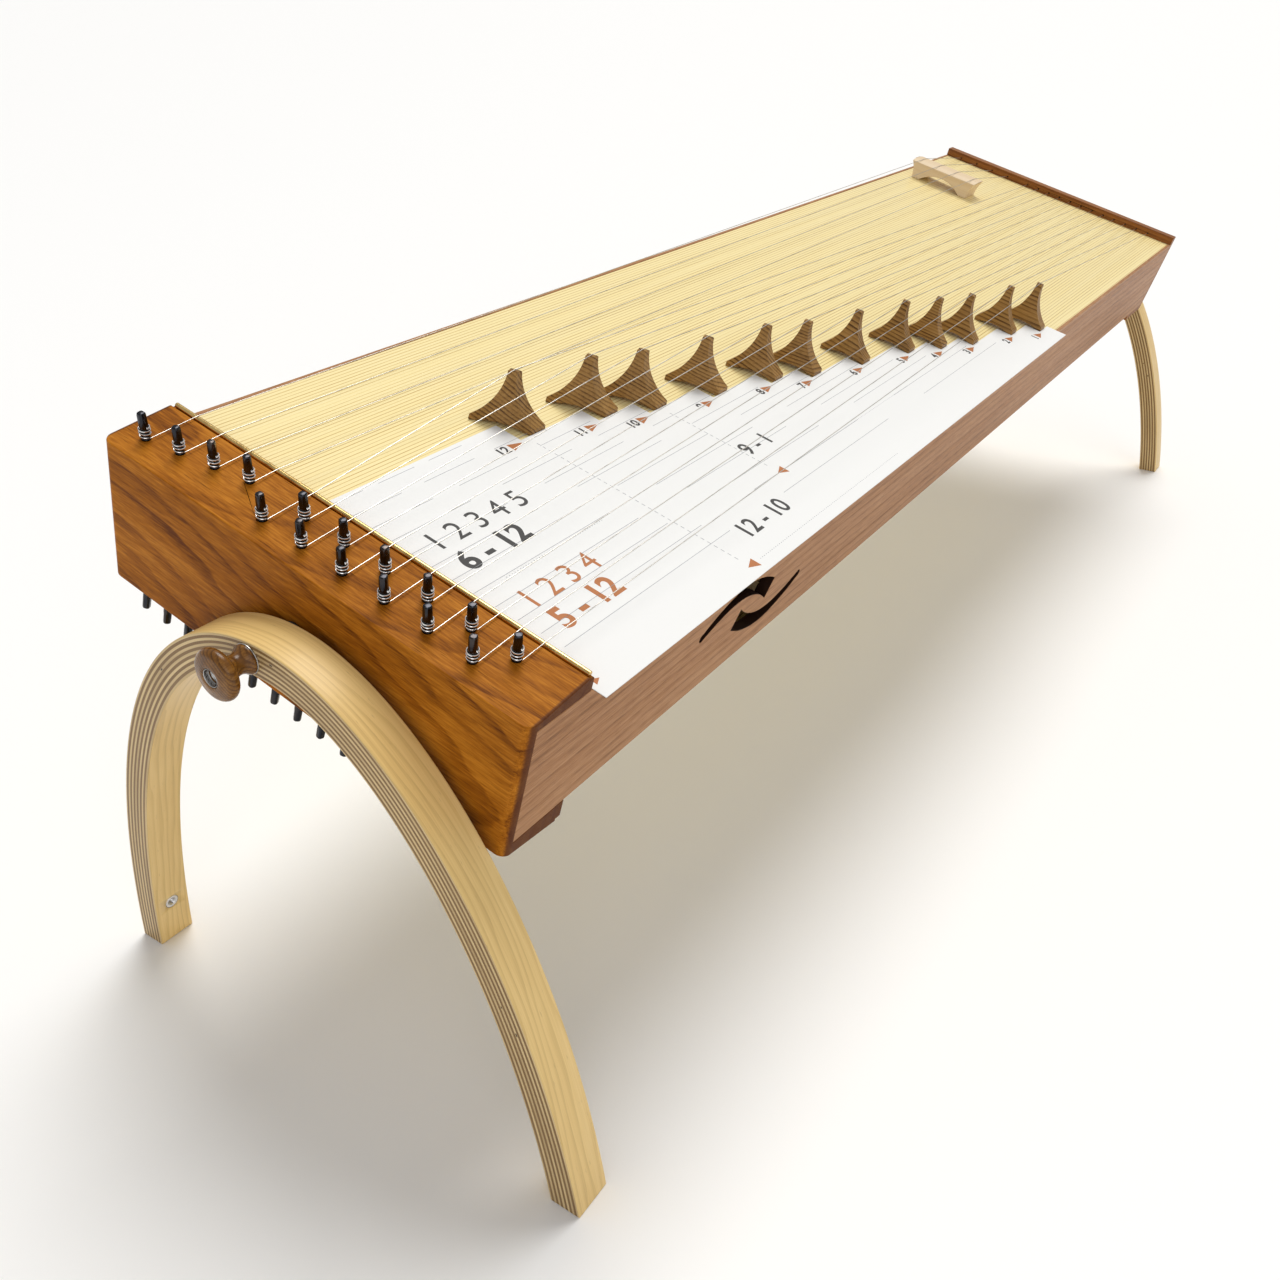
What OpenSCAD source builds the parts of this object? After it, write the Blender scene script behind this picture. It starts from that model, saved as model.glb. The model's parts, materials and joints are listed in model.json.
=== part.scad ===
// Two-sided board zither that turns between two bent-plywood stands.
// The top carries twelve strings over movable bridges and four drone strings over one flat
// bridge. The underside carries thirty more strings. X runs from the tuning-pin end to the
// tail, Y to the far side and Z up. The origin is on the floor at the centre of the footprint.

/* [Body] */
// Length of the sound box, pin end to tail end
body_len = 1220; // [1150:5:1300]
// Width of the sound box
body_w = 300; // [298:1:320]
// Height of the side walls
wall_h = 78; // [74:1:90]
// Thickness of the side walls
wall_t = 8; // [7:0.5:9]
// Thickness of both soundboards
board_t = 3.5; // [3:0.5:4]
// Tilt of the sound box about its long axis at rest
body_tilt = 15.5; // [0:1:45]

/* [Pin block] */
// Length of the pin block's sloping top
block_len = 48; // [46:1:54]
// Height of the block above the wall at the end face
block_low = 4.5; // [3:0.5:6]
// Height of the block above the wall at the nut
block_high = 11; // [9:0.5:12]

/* [Strings] */
// Movable-bridge strings
koto_count = 12; // [6:1:12]
// Spacing of the movable-bridge strings
koto_pitch = 14.34; // [14:0.02:14.5]
// Drone strings over the flat bridge
tambura_count = 4; // [2:1:4]
// Spacing of the drone strings
tambura_pitch = 21.6; // [20:0.2:22]
// Strings on the underside
mono_count = 30; // [10:2:30]
// Spacing of the underside strings
mono_pitch = 9.25; // [8.2:0.05:9.25]

/* [Bridges] */
// Height of a movable bridge
bridge_h = 38.5; // [34:0.5:42]
// Width of a movable bridge's foot
bridge_w = 37; // [32:1:37]
// Thickness of a movable bridge at its foot
bridge_t = 13; // [12:1:16]
// Height of the flat bridge
flat_h = 19; // [16:0.5:20]

/* [Stands] */
// Overall height of a stand
stand_h = 303; // [290:1:330]
// Half the spread of a stand's feet
stand_half = 192; // [180:1:210]
// Thickness of the bent plywood
ply_t = 20; // [18:1:22]
// Width of the bent plywood along the zither
ply_w = 25.5; // [22:0.5:30]
// Gap between a stand and the end of the sound box
stand_gap = 4.5; // [4:0.5:6]

/* [Hidden] */
$fn = 48;

// Sound box: distances along it are counted from the pin end, heights from its middle.
half_l = body_len / 2;
half_w = body_w / 2;
half_h = wall_h / 2;
board_drop = 0.5;
board_top = half_h - board_drop;
board_bottom = board_top - board_t;
wall_lip = 3;
cap_t = 6;
block_round = 6;
block_inside = 12;
under_drop = 4;
rise = (block_high - block_low) / block_len;
wedge = atan(rise);
tail_len = 76;
ledge_t = 12;
ledge_h = 8;
under_ledge_len = 64;
under_ledge_h = 6;
brace_w = 12;
brace_h = 22;
brace_count = 4;

// Sound hole: two commas, one the other turned half round.
hole_len = 84;
hole_bow = 11.5;
hole_tail = 2.9;
hole_lean = 2;
hole_mid_x = 226;
hole_dx = -20;
hole_dz = 6.8;
hole_over = 4;
hole_under = 5.6;
hole_slant = 6;

// Nut rods lie in a step at the block's inner edges.
nut_r = 1.5;
nut_step_w = 4;
nut_step_d = 2.2;
nut_margin = 2;
nut_x = block_len - nut_r;
nut_top = half_h + block_high - nut_step_d + 2 * nut_r;

// Tuning pins stand square to the block's sloping faces.
pin_r = 2.5;
pin_out = 17;
under_pin_out = 24;
pin_in = 26;
pin_play = 0.03;
pin_head_flat = 4.3;
pin_head_len = 8.5;
row_out = 14.7;
row_in = 29.7;
tambura_row = 30.1;
tambura_step = 4.8;
coil_r = 0.45;
coil_low = 1.9;
coil_pitch = 2;
coil_turns = 3;
coil_gap = 0.02;

// Strings are straight between their rests; ends sit in the tail block.
string_w = 0.6;
string_mid = string_w / 2;
pin_side = pin_r + 2 * coil_r + string_mid + 2 * coil_gap;
koto_first = 30;
tambura_first = 215.3;
hitch_top = 3;
hitch_under = 3;
hitch_hole_r = 0.8;
ball_r = 2;
ball_len = 4;
ball_seat = 5;
string_end = body_len - ball_seat;
nut_pass = [nut_x, nut_top + string_mid];

// Movable bridges: a whole tone or a semitone apart, the highest string's bridge first.
bridge_start = 205.6;
tone_steps = [2, 1, 2, 2, 1, 2, 2, 1, 1, 2, 1];
step_base = 17.2;
step_per_semitone = 21.5;
bridge_top_w = 5.6;
bridge_top_t = 4.4;
bridge_toe = 3.6;
bridge_side_r = 44;
bridge_arch_h = 3;
bridge_heel = 2.5;
bridge_skew = 26;
bridge_ridge = 0.6;
bridge_roof = 1.2;
notch_r = 0.5;
string_lift = 0.25;

// Flat bridge under the drone strings
flat_w = 82;
flat_foot_w = 70;
flat_t = 30;
flat_x = 1072;
flat_crown_r = 90;
flat_span = 52;
flat_opening_h = 10;

// Template sheet
sheet_t = 0.4;
sheet_over = 8;
sheet_gap = 0.3;
sheet_tail = 774;

// Stands: each is an ellipse whose centre lies below the floor.
below = 100;
half_high = stand_h + below;
half_wide = stand_half / sqrt(1 - pow(below / half_high, 2));
foot_angle = asin(below / half_high);
axle_h = stand_h - ply_t / 2;
axle_up = 4;
axle_r = 4;
insert_r = 6;
insert_len = 25;
foot_insert_z = 37;
foot_insert_r = 5;
foot_insert_bore = 2.5;
foot_insert_len = 12;
washer_t = 1;
washer_r = 8.5;
spacer_r = 6.5;
stand_in = half_l + stand_gap;
stand_out = stand_in + ply_w;
knob_len = 22;
knob_recess_r = 5;
knob_recess_d = 3.5;
stud_in = 22;

function koto_y(i) = koto_first + koto_pitch * (i - 1) - half_w;
function tambura_y(i) = tambura_first + tambura_pitch * (i - 1) - half_w;
function mono_y(i) = mono_pitch * (i - (mono_count + 1) / 2);
function sum_steps(n) = n == 0 ? 0
    : step_base + step_per_semitone * tone_steps[n - 1] + sum_steps(n - 1);
function bridge_x(i) = bridge_start + sum_steps(len(tone_steps) + 1 - i);
// Each bridge is sawn off a moulded bar; those nearest the pins are sawn at a slant, which
// brings their far toes towards the pins.
function bridge_turn(i) = bridge_skew * min(1, max(0, (i - 4) / 6));
function block_z(x) = half_h + block_low + rise * x;
function pin_row(i) = i % 2 == 0 ? row_out : row_in;
function tambura_x(i) = tambura_row - tambura_step * (i - 1);
function crown_drop(x) = flat_crown_r - sqrt(pow(flat_crown_r, 2) - x * x);

// Places its children in the sound box, with x counted from the pin end.
module in_box() {
    translate([0, 0, axle_h])
        rotate([body_tilt, 0, 0])
            translate([-half_l, 0, -axle_up])
                children();
}

// Stands its children on the pin block's sloping top, or on its underside.
module on_block(x, y, under = false) {
    mirror([0, 0, under ? 1 : 0])
        translate([x, y, block_z(x) + (under ? under_drop : 0)])
            rotate([0, -wedge, 0])
                children();
}

// Extrudes an outline in x and z across the box, centred on y.
module across(w) {
    translate([0, w / 2, 0])
        rotate([90, 0, 0])
            linear_extrude(w)
                children();
}

// Rod along x from one distance to another at a height.
module rod_x(r, x0, x1, y = 0, z = 0) {
    translate([x0, y, z])
        rotate([0, 90, 0])
            cylinder(r = r, h = x1 - x0);
}

// ---- Sound box ----

module block_outline() {
    seat = half_h + block_high - nut_step_d;
    step_x = block_len - nut_step_w;
    inside = block_len + block_inside;
    upper = [
        [0, block_z(0)],
        [step_x, block_z(step_x)],
        [step_x, seat],
        [block_len, seat],
        [block_len, board_bottom],
        [inside, board_bottom]
    ];
    lower = [
        for (i = [len(upper) - 1:-1:0])
            [upper[i][0], -upper[i][1] - (upper[i][1] > board_bottom ? under_drop : 0)]
    ];
    polygon(concat(upper, lower));
}

// Outline from above with its two outer corners rounded.
module block_plan() {
    translate([block_round, -half_w])
        square([block_len + block_inside - block_round, body_w]);
    translate([0, -half_w + block_round])
        square([block_len, body_w - 2 * block_round]);
    for (s = [-1, 1])
        translate([block_round, s * (half_w - block_round)])
            circle(r = block_round);
}

module wall_room(x0, x1) {
    for (s = [-1, 1])
        translate([x0, s > 0 ? half_w - wall_t : -half_w - 1, -half_h])
            cube([x1 - x0, wall_t + 1, wall_h]);
}

module pin_hole(x, y, under = false) {
    on_block(x, y, under)
        translate([0, 0, -pin_in - 1])
            cylinder(r = pin_r + pin_play, h = pin_in + 3);
}

module pin_block() {
    color("peru")
        in_box()
            difference() {
                intersection() {
                    across(body_w) block_outline();
                    translate([0, 0, -wall_h])
                        linear_extrude(2 * wall_h)
                            block_plan();
                }
                wall_room(cap_t, block_len + block_inside + 1);
                for (i = [1:koto_count])
                    pin_hole(pin_row(i), koto_y(i) + pin_side);
                for (i = [1:tambura_count])
                    pin_hole(tambura_x(i), tambura_y(i) + pin_side);
                for (i = [1:mono_count])
                    pin_hole(pin_row(i), mono_y(i) + pin_side, true);
                rod_x(insert_r + 0.02, -1, insert_len + 1, 0, axle_up);
            }
}

module tail_outline() {
    polygon([
        [body_len, half_h + ledge_h],
        [body_len - ledge_t, half_h + ledge_h],
        [body_len - ledge_t, board_bottom],
        [body_len - tail_len, board_bottom],
        [body_len - tail_len, -board_bottom],
        [body_len - under_ledge_len, -board_bottom],
        [body_len - under_ledge_len, -half_h - under_ledge_h],
        [body_len, -half_h - under_ledge_h]
    ]);
}

module hitch_hole(y, z, x0) {
    rod_x(hitch_hole_r, x0, body_len + 1, y, z);
    rod_x(ball_r + 0.1, body_len - ball_seat, body_len + 1, y, z);
}

module tail_block() {
    color("saddlebrown")
        in_box()
            difference() {
                across(body_w) tail_outline();
                wall_room(body_len - tail_len - 1, body_len - cap_t);
                for (i = [1:koto_count])
                    hitch_hole(koto_y(i), board_top + hitch_top, body_len - ledge_t - 1);
                for (i = [1:tambura_count])
                    hitch_hole(tambura_y(i), board_top + hitch_top, body_len - ledge_t - 1);
                for (i = [1:mono_count])
                    hitch_hole(mono_y(i), -board_top - hitch_under, body_len - under_ledge_len - 1);
                rod_x(insert_r + 0.02, body_len - insert_len - 1, body_len + 1, 0, axle_up);
            }
}

// Side wall with a rebate for each soundboard along its inner edges.
module side_wall_blank() {
    translate([cap_t, -half_w, -half_h])
        cube([body_len - 2 * cap_t, wall_t, wall_h]);
}

module board_room(under = false) {
    mirror([0, 0, under ? 1 : 0])
        translate([block_len, -half_w + wall_lip, board_bottom])
            cube([body_len - block_len - (under ? under_ledge_len : ledge_t), wall_t, wall_h]);
}

// Comma-shaped sound hole: a tail that swells along a bowed line into a slanting head.
function hole_at(t) = [
    hole_len * (t - 0.5),
    hole_bow * sin(180 * t) - hole_lean * t
];
function hole_above(t) = hole_at(t) + [0, hole_tail + hole_over * sqrt(t) * (1 - pow(t, 6) / 2)];
function hole_below(t) = hole_at(t)
    - [hole_slant * pow(t, 6), hole_tail + hole_under * pow(t, 2.2)];

module comma() {
    steps = 18;
    polygon(concat(
        [for (k = [0:steps]) hole_above(k / steps)],
        [for (k = [steps:-1:0]) hole_below(k / steps)]
    ));
    translate(hole_at(0))
        circle(r = hole_tail);
}

module sound_hole() {
    translate([hole_mid_x, -half_w + wall_t / 2, 0])
        across(wall_t + 4)
            for (turn = [0, 180])
                rotate(turn)
                    translate([hole_dx, hole_dz])
                        comma();
}

module near_side_wall() {
    color("rosybrown")
        in_box()
            difference() {
                side_wall_blank();
                board_room();
                board_room(true);
                sound_hole();
            }
}

module far_side_wall() {
    color("rosybrown")
        in_box()
            mirror([0, 1, 0])
                difference() {
                    side_wall_blank();
                    board_room();
                    board_room(true);
                }
}

module board(length) {
    translate([block_len, -half_w + wall_lip, board_bottom])
        cube([length, body_w - 2 * wall_lip, board_t]);
}

module top_soundboard() {
    color("palegoldenrod")
        in_box()
            board(body_len - block_len - ledge_t);
}

module bottom_soundboard() {
    color("palegoldenrod")
        in_box()
            mirror([0, 0, 1])
                board(body_len - block_len - under_ledge_len);
}

module braces() {
    room = body_len - block_len - tail_len;
    for (i = [1:brace_count])
        translate([block_len + room * i / (brace_count + 1), -half_w + wall_t,
            board_bottom - brace_h])
            cube([brace_w, body_w - 2 * wall_t, brace_h]);
}

module top_braces() {
    color("burlywood")
        in_box()
            braces();
}

module bottom_braces() {
    color("burlywood")
        in_box()
            mirror([0, 0, 1])
                braces();
}

module threaded_inserts() {
    color("gold")
        in_box()
            for (x = [0.5, body_len - 0.5 - insert_len])
                difference() {
                    rod_x(insert_r, x, x + insert_len, 0, axle_up);
                    rod_x(axle_r + 0.05, x - 1, x + insert_len + 1, 0, axle_up);
                }
}

module nut_rod() {
    translate([nut_x, half_w - nut_margin, nut_top - nut_r])
        rotate([90, 0, 0])
            cylinder(r = nut_r, h = body_w - 2 * nut_margin);
}

module top_nut() {
    color("goldenrod")
        in_box()
            nut_rod();
}

module bottom_nut() {
    color("goldenrod")
        in_box()
            mirror([0, 0, 1])
                translate([0, 0, under_drop])
                    nut_rod();
}

// ---- Tuning pins and strings ----

// Round shank with a domed top and four flats for the tuning key.
module tuning_pin(out = pin_out) {
    top = out - 1;
    difference() {
        rotate_extrude()
            polygon([
                [0, -pin_in], [pin_r - 0.5, -pin_in], [pin_r, -pin_in + 1],
                [pin_r, top - 1], [pin_r - 0.4, top], [pin_r - 1.2, out], [0, out]
            ]);
        for (turn = [0:90:270])
            rotate([0, 0, turn])
                translate([pin_head_flat / 2, -pin_r, out - pin_head_len])
                    cube([pin_r, 2 * pin_r, pin_head_len + 1]);
    }
}

module koto_pin(i) {
    color("dimgray")
        in_box()
            on_block(pin_row(i), koto_y(i) + pin_side)
                tuning_pin();
}

module tambura_pin(i) {
    color("dimgray")
        in_box()
            on_block(tambura_x(i), tambura_y(i) + pin_side)
                tuning_pin();
}

module underside_pins() {
    color("dimgray")
        in_box()
            for (i = [1:mono_count])
                on_block(pin_row(i), mono_y(i) + pin_side, true)
                    tuning_pin(under_pin_out);
}

// Turns of string wound on a pin, as one ribbed sleeve.
module coil() {
    inner = pin_r + coil_gap;
    rotate_extrude() {
        translate([inner, coil_low - coil_pitch / 2])
            square([coil_r * 0.6, coil_turns * coil_pitch]);
        for (k = [0:coil_turns - 1])
            translate([inner + coil_r, coil_low + k * coil_pitch])
                circle(r = coil_r, $fn = 8);
    }
}

module string_coils() {
    color("silver")
        in_box() {
            for (i = [1:koto_count])
                on_block(pin_row(i), koto_y(i) + pin_side) coil();
            for (i = [1:tambura_count])
                on_block(tambura_x(i), tambura_y(i) + pin_side) coil();
            for (i = [1:mono_count])
                on_block(pin_row(i), mono_y(i) + pin_side, true) coil();
        }
}

// Where a string leaves its coil: beside the pin, at the lowest turn.
function leave_x(x) = x - coil_low * sin(wedge);
function leave_z(x) = block_z(x) + coil_low * cos(wedge);

// String laid through a list of [x, z] points at one y.
module string_through(points, y) {
    upper = [for (p = points) [p[0], p[1] + string_mid]];
    lower = [for (k = [len(points) - 1:-1:0]) [points[k][0], points[k][1] - string_mid]];
    translate([0, y, 0])
        across(string_w)
            polygon(concat(upper, lower));
}

module koto_strings() {
    color("lightgray")
        in_box()
            for (i = [1:koto_count])
                string_through([
                    [leave_x(pin_row(i)), leave_z(pin_row(i))],
                    nut_pass,
                    [bridge_x(i), board_top + bridge_h - notch_r + string_mid + string_lift],
                    [body_len - ledge_t, board_top + hitch_top],
                    [string_end, board_top + hitch_top]
                ], koto_y(i));
}

module tambura_strings() {
    color("lightgray")
        in_box()
            for (i = [1:tambura_count])
                string_through([
                    [leave_x(tambura_x(i)), leave_z(tambura_x(i))],
                    nut_pass,
                    [flat_x, board_top + flat_h + string_mid + string_lift],
                    [flat_x + flat_t / 3, board_top + flat_h - crown_drop(flat_t / 3)
                        + string_mid + string_lift],
                    [body_len - ledge_t, board_top + hitch_top],
                    [string_end, board_top + hitch_top]
                ], tambura_y(i));
}

module underside_strings() {
    color("lightgray")
        in_box()
            mirror([0, 0, 1])
                for (i = [1:mono_count])
                    string_through([
                        [leave_x(pin_row(i)), leave_z(pin_row(i)) + under_drop],
                        nut_pass + [0, under_drop],
                        [body_len - under_ledge_len, board_top + hitch_under],
                        [string_end, board_top + hitch_under]
                    ], mono_y(i));
}

module ball_end(y, z) {
    rod_x(ball_r, string_end + 0.02, string_end + ball_len, y, z);
}

module ball_ends() {
    color("gold")
        in_box() {
            for (i = [1:koto_count])
                ball_end(koto_y(i), board_top + hitch_top);
            for (i = [1:tambura_count])
                ball_end(tambura_y(i), board_top + hitch_top);
            for (i = [1:mono_count])
                ball_end(mono_y(i), -board_top - hitch_under);
        }
}

// ---- Bridges ----

// Front view of a movable bridge: wide toes, hollow flanks, narrow top.
module bridge_front() {
    half_foot = bridge_w / 2;
    half_top = bridge_top_w / 2;
    chord = [half_foot - half_top, bridge_h - bridge_toe];
    reach = sqrt(pow(bridge_side_r, 2) - chord * chord / 4);
    side = [half_foot + half_top, bridge_h + bridge_toe] / 2
        + reach * [chord[1], chord[0]] / norm(chord);
    arch_half = half_foot - bridge_heel;
    arch_r = (pow(arch_half, 2) + pow(bridge_arch_h, 2)) / (2 * bridge_arch_h);
    difference() {
        polygon([
            [-half_foot, 0], [half_foot, 0], [half_foot, bridge_toe],
            [half_top, bridge_h], [-half_top, bridge_h], [-half_foot, bridge_toe]
        ]);
        for (s = [-1, 1])
            translate([s * side[0], side[1]])
                circle(r = bridge_side_r, $fn = 96);
        translate([0, bridge_arch_h - arch_r])
            circle(r = arch_r, $fn = 96);
    }
}

// The bridge thins from foot to top; a round notch across its ridge holds the string.
module movable_bridge(turn) {
    long = bridge_t + 2 * bridge_w;
    difference() {
        intersection() {
            translate([-long / 2, 0, 0])
                rotate([90, 0, 90])
                    linear_extrude(long)
                        bridge_front();
            rotate([0, 0, turn])
                across(2 * bridge_w)
                    polygon([
                        [-bridge_t / 2, 0],
                        [bridge_t / 2, 0],
                        [bridge_top_t / 2, bridge_h - bridge_roof],
                        [bridge_ridge / 2, bridge_h],
                        [-bridge_ridge / 2, bridge_h],
                        [-bridge_top_t / 2, bridge_h - bridge_roof]
                    ]);
        }
        rod_x(notch_r, -bridge_t, bridge_t, 0, bridge_h);
    }
}

module koto_bridge(i) {
    color("sienna")
        in_box()
            translate([bridge_x(i), koto_y(i), board_top])
                movable_bridge(bridge_turn(i));
}

// Flat bridge: an arched bench with a gently crowned top that spreads beyond its feet.
module tambura_bridge() {
    opening_r = (pow(flat_span / 2, 2) + pow(flat_opening_h, 2)) / (2 * flat_opening_h);
    spread = (flat_w - flat_foot_w) / 2;
    end_r = (pow(flat_h, 2) + pow(spread, 2)) / (2 * spread);
    mid_y = (tambura_y(1) + tambura_y(tambura_count)) / 2;
    color("wheat")
        in_box()
            translate([flat_x, mid_y, board_top])
                difference() {
                    intersection() {
                        translate([-flat_t / 2, -flat_w / 2, 0])
                            cube([flat_t, flat_w, flat_h]);
                        translate([0, flat_w, flat_h - flat_crown_r])
                            rotate([90, 0, 0])
                                cylinder(r = flat_crown_r, h = 2 * flat_w, $fn = 180);
                    }
                    rod_x(opening_r, -flat_t, flat_t, 0, flat_opening_h - opening_r);
                    for (s = [-1, 1])
                        rod_x(end_r, -flat_t, flat_t, s * (flat_foot_w / 2 + end_r), 0);
                }
}

// ---- Template sheet ----

// Its far edge is a staircase: one step against the front of each movable bridge.
function step_far(i) = i == koto_count ? koto_y(i) + 2
    : koto_y(i + 1) - bridge_w / 2 - sheet_gap;
function step_x(i) = bridge_x(i) - sheet_gap - bridge_t / 2 / cos(bridge_turn(i))
    - (step_far(i) - koto_y(i)) * tan(bridge_turn(i));

module tone_template() {
    near = koto_y(1) - bridge_w / 2 - sheet_gap;
    stairs = [
        for (i = [koto_count:-1:1], side = [0, 1])
            [step_x(i), side == 0 ? step_far(i) : i == 1 ? near : step_far(i - 1)]
    ];
    start = block_len + 1;
    color("white")
        in_box()
            translate([0, 0, half_h + 0.05])
                linear_extrude(sheet_t)
                    polygon(concat(
                        [[start, -half_w - sheet_over], [start, step_far(koto_count)]],
                        stairs,
                        [[sheet_tail, near], [sheet_tail, -half_w - sheet_over]]
                    ));
}

// ---- Stands ----

function arch_out(a) = [half_wide * cos(a), half_high * sin(a) - below];
function arch_slope(a) = [cos(a) / half_wide, sin(a) / half_high];
function arch_normal(a) = arch_slope(a) / norm(arch_slope(a));
function arch_in(a) = arch_out(a) - ply_t * arch_normal(a);

module arch_outline() {
    step = 3;
    first = foot_angle - 4;
    turns = [for (a = [first:step:180 - first]) a];
    intersection() {
        polygon(concat(
            [for (a = turns) arch_out(a)],
            [for (k = [len(turns) - 1:-1:0]) arch_in(turns[k])]
        ));
        translate([-stand_half - 20, 0])
            square([2 * stand_half + 40, stand_h + 10]);
    }
}

// Puts its children on a foot's inner face, with z pointing into the wood.
module at_foot_insert(side) {
    a = asin((foot_insert_z + below) / half_high);
    point = arch_in(a);
    normal = arch_normal(a);
    mirror([0, side < 0 ? 1 : 0, 0])
        translate([ply_w / 2, point[0], point[1]])
            rotate([-90 + atan2(normal[1], normal[0]), 0, 0])
                children();
}

// Bent-plywood stand standing on the floor, from x = 0 to its width.
module arch() {
    difference() {
        rotate([90, 0, 90])
            linear_extrude(ply_w)
                arch_outline();
        rod_x(axle_r + 0.25, -1, ply_w + 1, 0, axle_h);
        for (s = [-1, 1])
            at_foot_insert(s)
                translate([0, 0, -2])
                    cylinder(r = foot_insert_r + 0.02, h = foot_insert_len + 2);
    }
}

module foot_inserts() {
    for (s = [-1, 1])
        at_foot_insert(s)
            difference() {
                cylinder(r = foot_insert_r, h = foot_insert_len);
                translate([0, 0, -1])
                    cylinder(r = foot_insert_bore, h = foot_insert_len + 2);
            }
}

// Mirrors the pin-end stand hardware to the tail end.
module tail_end() {
    mirror([1, 0, 0])
        children();
}

module stand_arch() {
    color("wheat")
        translate([-stand_out, 0, 0])
            arch();
}

module stand_foot_inserts() {
    color("silver")
        translate([-stand_out, 0, 0])
            foot_inserts();
}

module stand_spacer() {
    color("dimgray")
        difference() {
            rod_x(spacer_r, -stand_in, -half_l - 0.1, 0, axle_h);
            rod_x(axle_r + 0.25, -stand_in - 1, -half_l, 0, axle_h);
        }
}

module stand_washer() {
    color("silver")
        difference() {
            rod_x(washer_r, -stand_out - washer_t, -stand_out, 0, axle_h);
            rod_x(axle_r + 0.2, -stand_out - washer_t - 1, -stand_out + 1, 0, axle_h);
        }
}

// Turned knob: flared foot, waist and broad rounded head with a recess in its face.
module knob() {
    head_r = 14.4;
    edge_r = 3.8;
    face = 0.8;
    waist_r = 5.8;
    neck_r = 6.8;
    foot_r = 8.3;
    head_low = knob_len - face - 2 * edge_r;
    color("saddlebrown")
        translate([-stand_out - washer_t, 0, axle_h])
            rotate([0, -90, 0])
                difference() {
                    rotate_extrude()
                        difference() {
                            union() {
                                square([foot_r, head_low + 1]);
                                translate([0, head_low])
                                    square([head_r - edge_r, knob_len - head_low]);
                                translate([head_r - edge_r, head_low + edge_r])
                                    circle(r = edge_r);
                            }
                            translate([waist_r + neck_r, head_low - neck_r])
                                circle(r = neck_r, $fn = 96);
                        }
                    translate([0, 0, knob_len - knob_recess_d])
                        cylinder(r = knob_recess_r, h = knob_recess_d + 1);
                    translate([0, 0, -1])
                        cylinder(r = axle_r + 0.02, h = knob_len);
                }
}

module stud() {
    outer = -stand_out - washer_t - knob_len + knob_recess_d;
    color("silver")
        difference() {
            rod_x(axle_r, outer, -half_l + stud_in, 0, axle_h);
            translate([outer - 1, 0, axle_h])
                rotate([0, 90, 0])
                    cylinder(r = 2.3, h = 5, $fn = 6);
        }
}

stand_arch();  // pin_end_arch
stand_spacer();  // pin_end_spacer
stand_washer();  // pin_end_washer
stand_foot_inserts();  // pin_end_foot_inserts
knob();  // pin_end_knob
stud();  // pin_end_stud
pin_block();
tail_block();
near_side_wall();
far_side_wall();
top_soundboard();
bottom_soundboard();
top_braces();
bottom_braces();
threaded_inserts();
top_nut();
bottom_nut();
underside_pins();
underside_strings();
koto_strings();
tambura_strings();
string_coils();
ball_ends();
tail_end() stand_arch();  // tail_end_arch
tail_end() stand_spacer();  // tail_end_spacer
tail_end() stand_washer();  // tail_end_washer
tail_end() stand_foot_inserts();  // tail_end_foot_inserts
tail_end() knob();  // tail_end_knob
tail_end() stud();  // tail_end_stud
koto_bridge(1);  // koto_bridge_01
koto_bridge(2);  // koto_bridge_02
koto_bridge(3);  // koto_bridge_03
koto_bridge(4);  // koto_bridge_04
koto_bridge(5);  // koto_bridge_05
koto_bridge(6);  // koto_bridge_06
koto_bridge(7);  // koto_bridge_07
koto_bridge(8);  // koto_bridge_08
koto_bridge(9);  // koto_bridge_09
koto_bridge(10);  // koto_bridge_10
koto_bridge(11);  // koto_bridge_11
koto_bridge(12);  // koto_bridge_12
tambura_bridge();
koto_pin(1);  // koto_pin_01
koto_pin(2);  // koto_pin_02
koto_pin(3);  // koto_pin_03
koto_pin(4);  // koto_pin_04
koto_pin(5);  // koto_pin_05
koto_pin(6);  // koto_pin_06
koto_pin(7);  // koto_pin_07
koto_pin(8);  // koto_pin_08
koto_pin(9);  // koto_pin_09
koto_pin(10);  // koto_pin_10
koto_pin(11);  // koto_pin_11
koto_pin(12);  // koto_pin_12
tambura_pin(1);  // tambura_pin_1
tambura_pin(2);  // tambura_pin_2
tambura_pin(3);  // tambura_pin_3
tambura_pin(4);  // tambura_pin_4
tone_template();
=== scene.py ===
import json
import math

import bmesh
import bpy
from mathutils import Matrix, Vector


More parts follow.
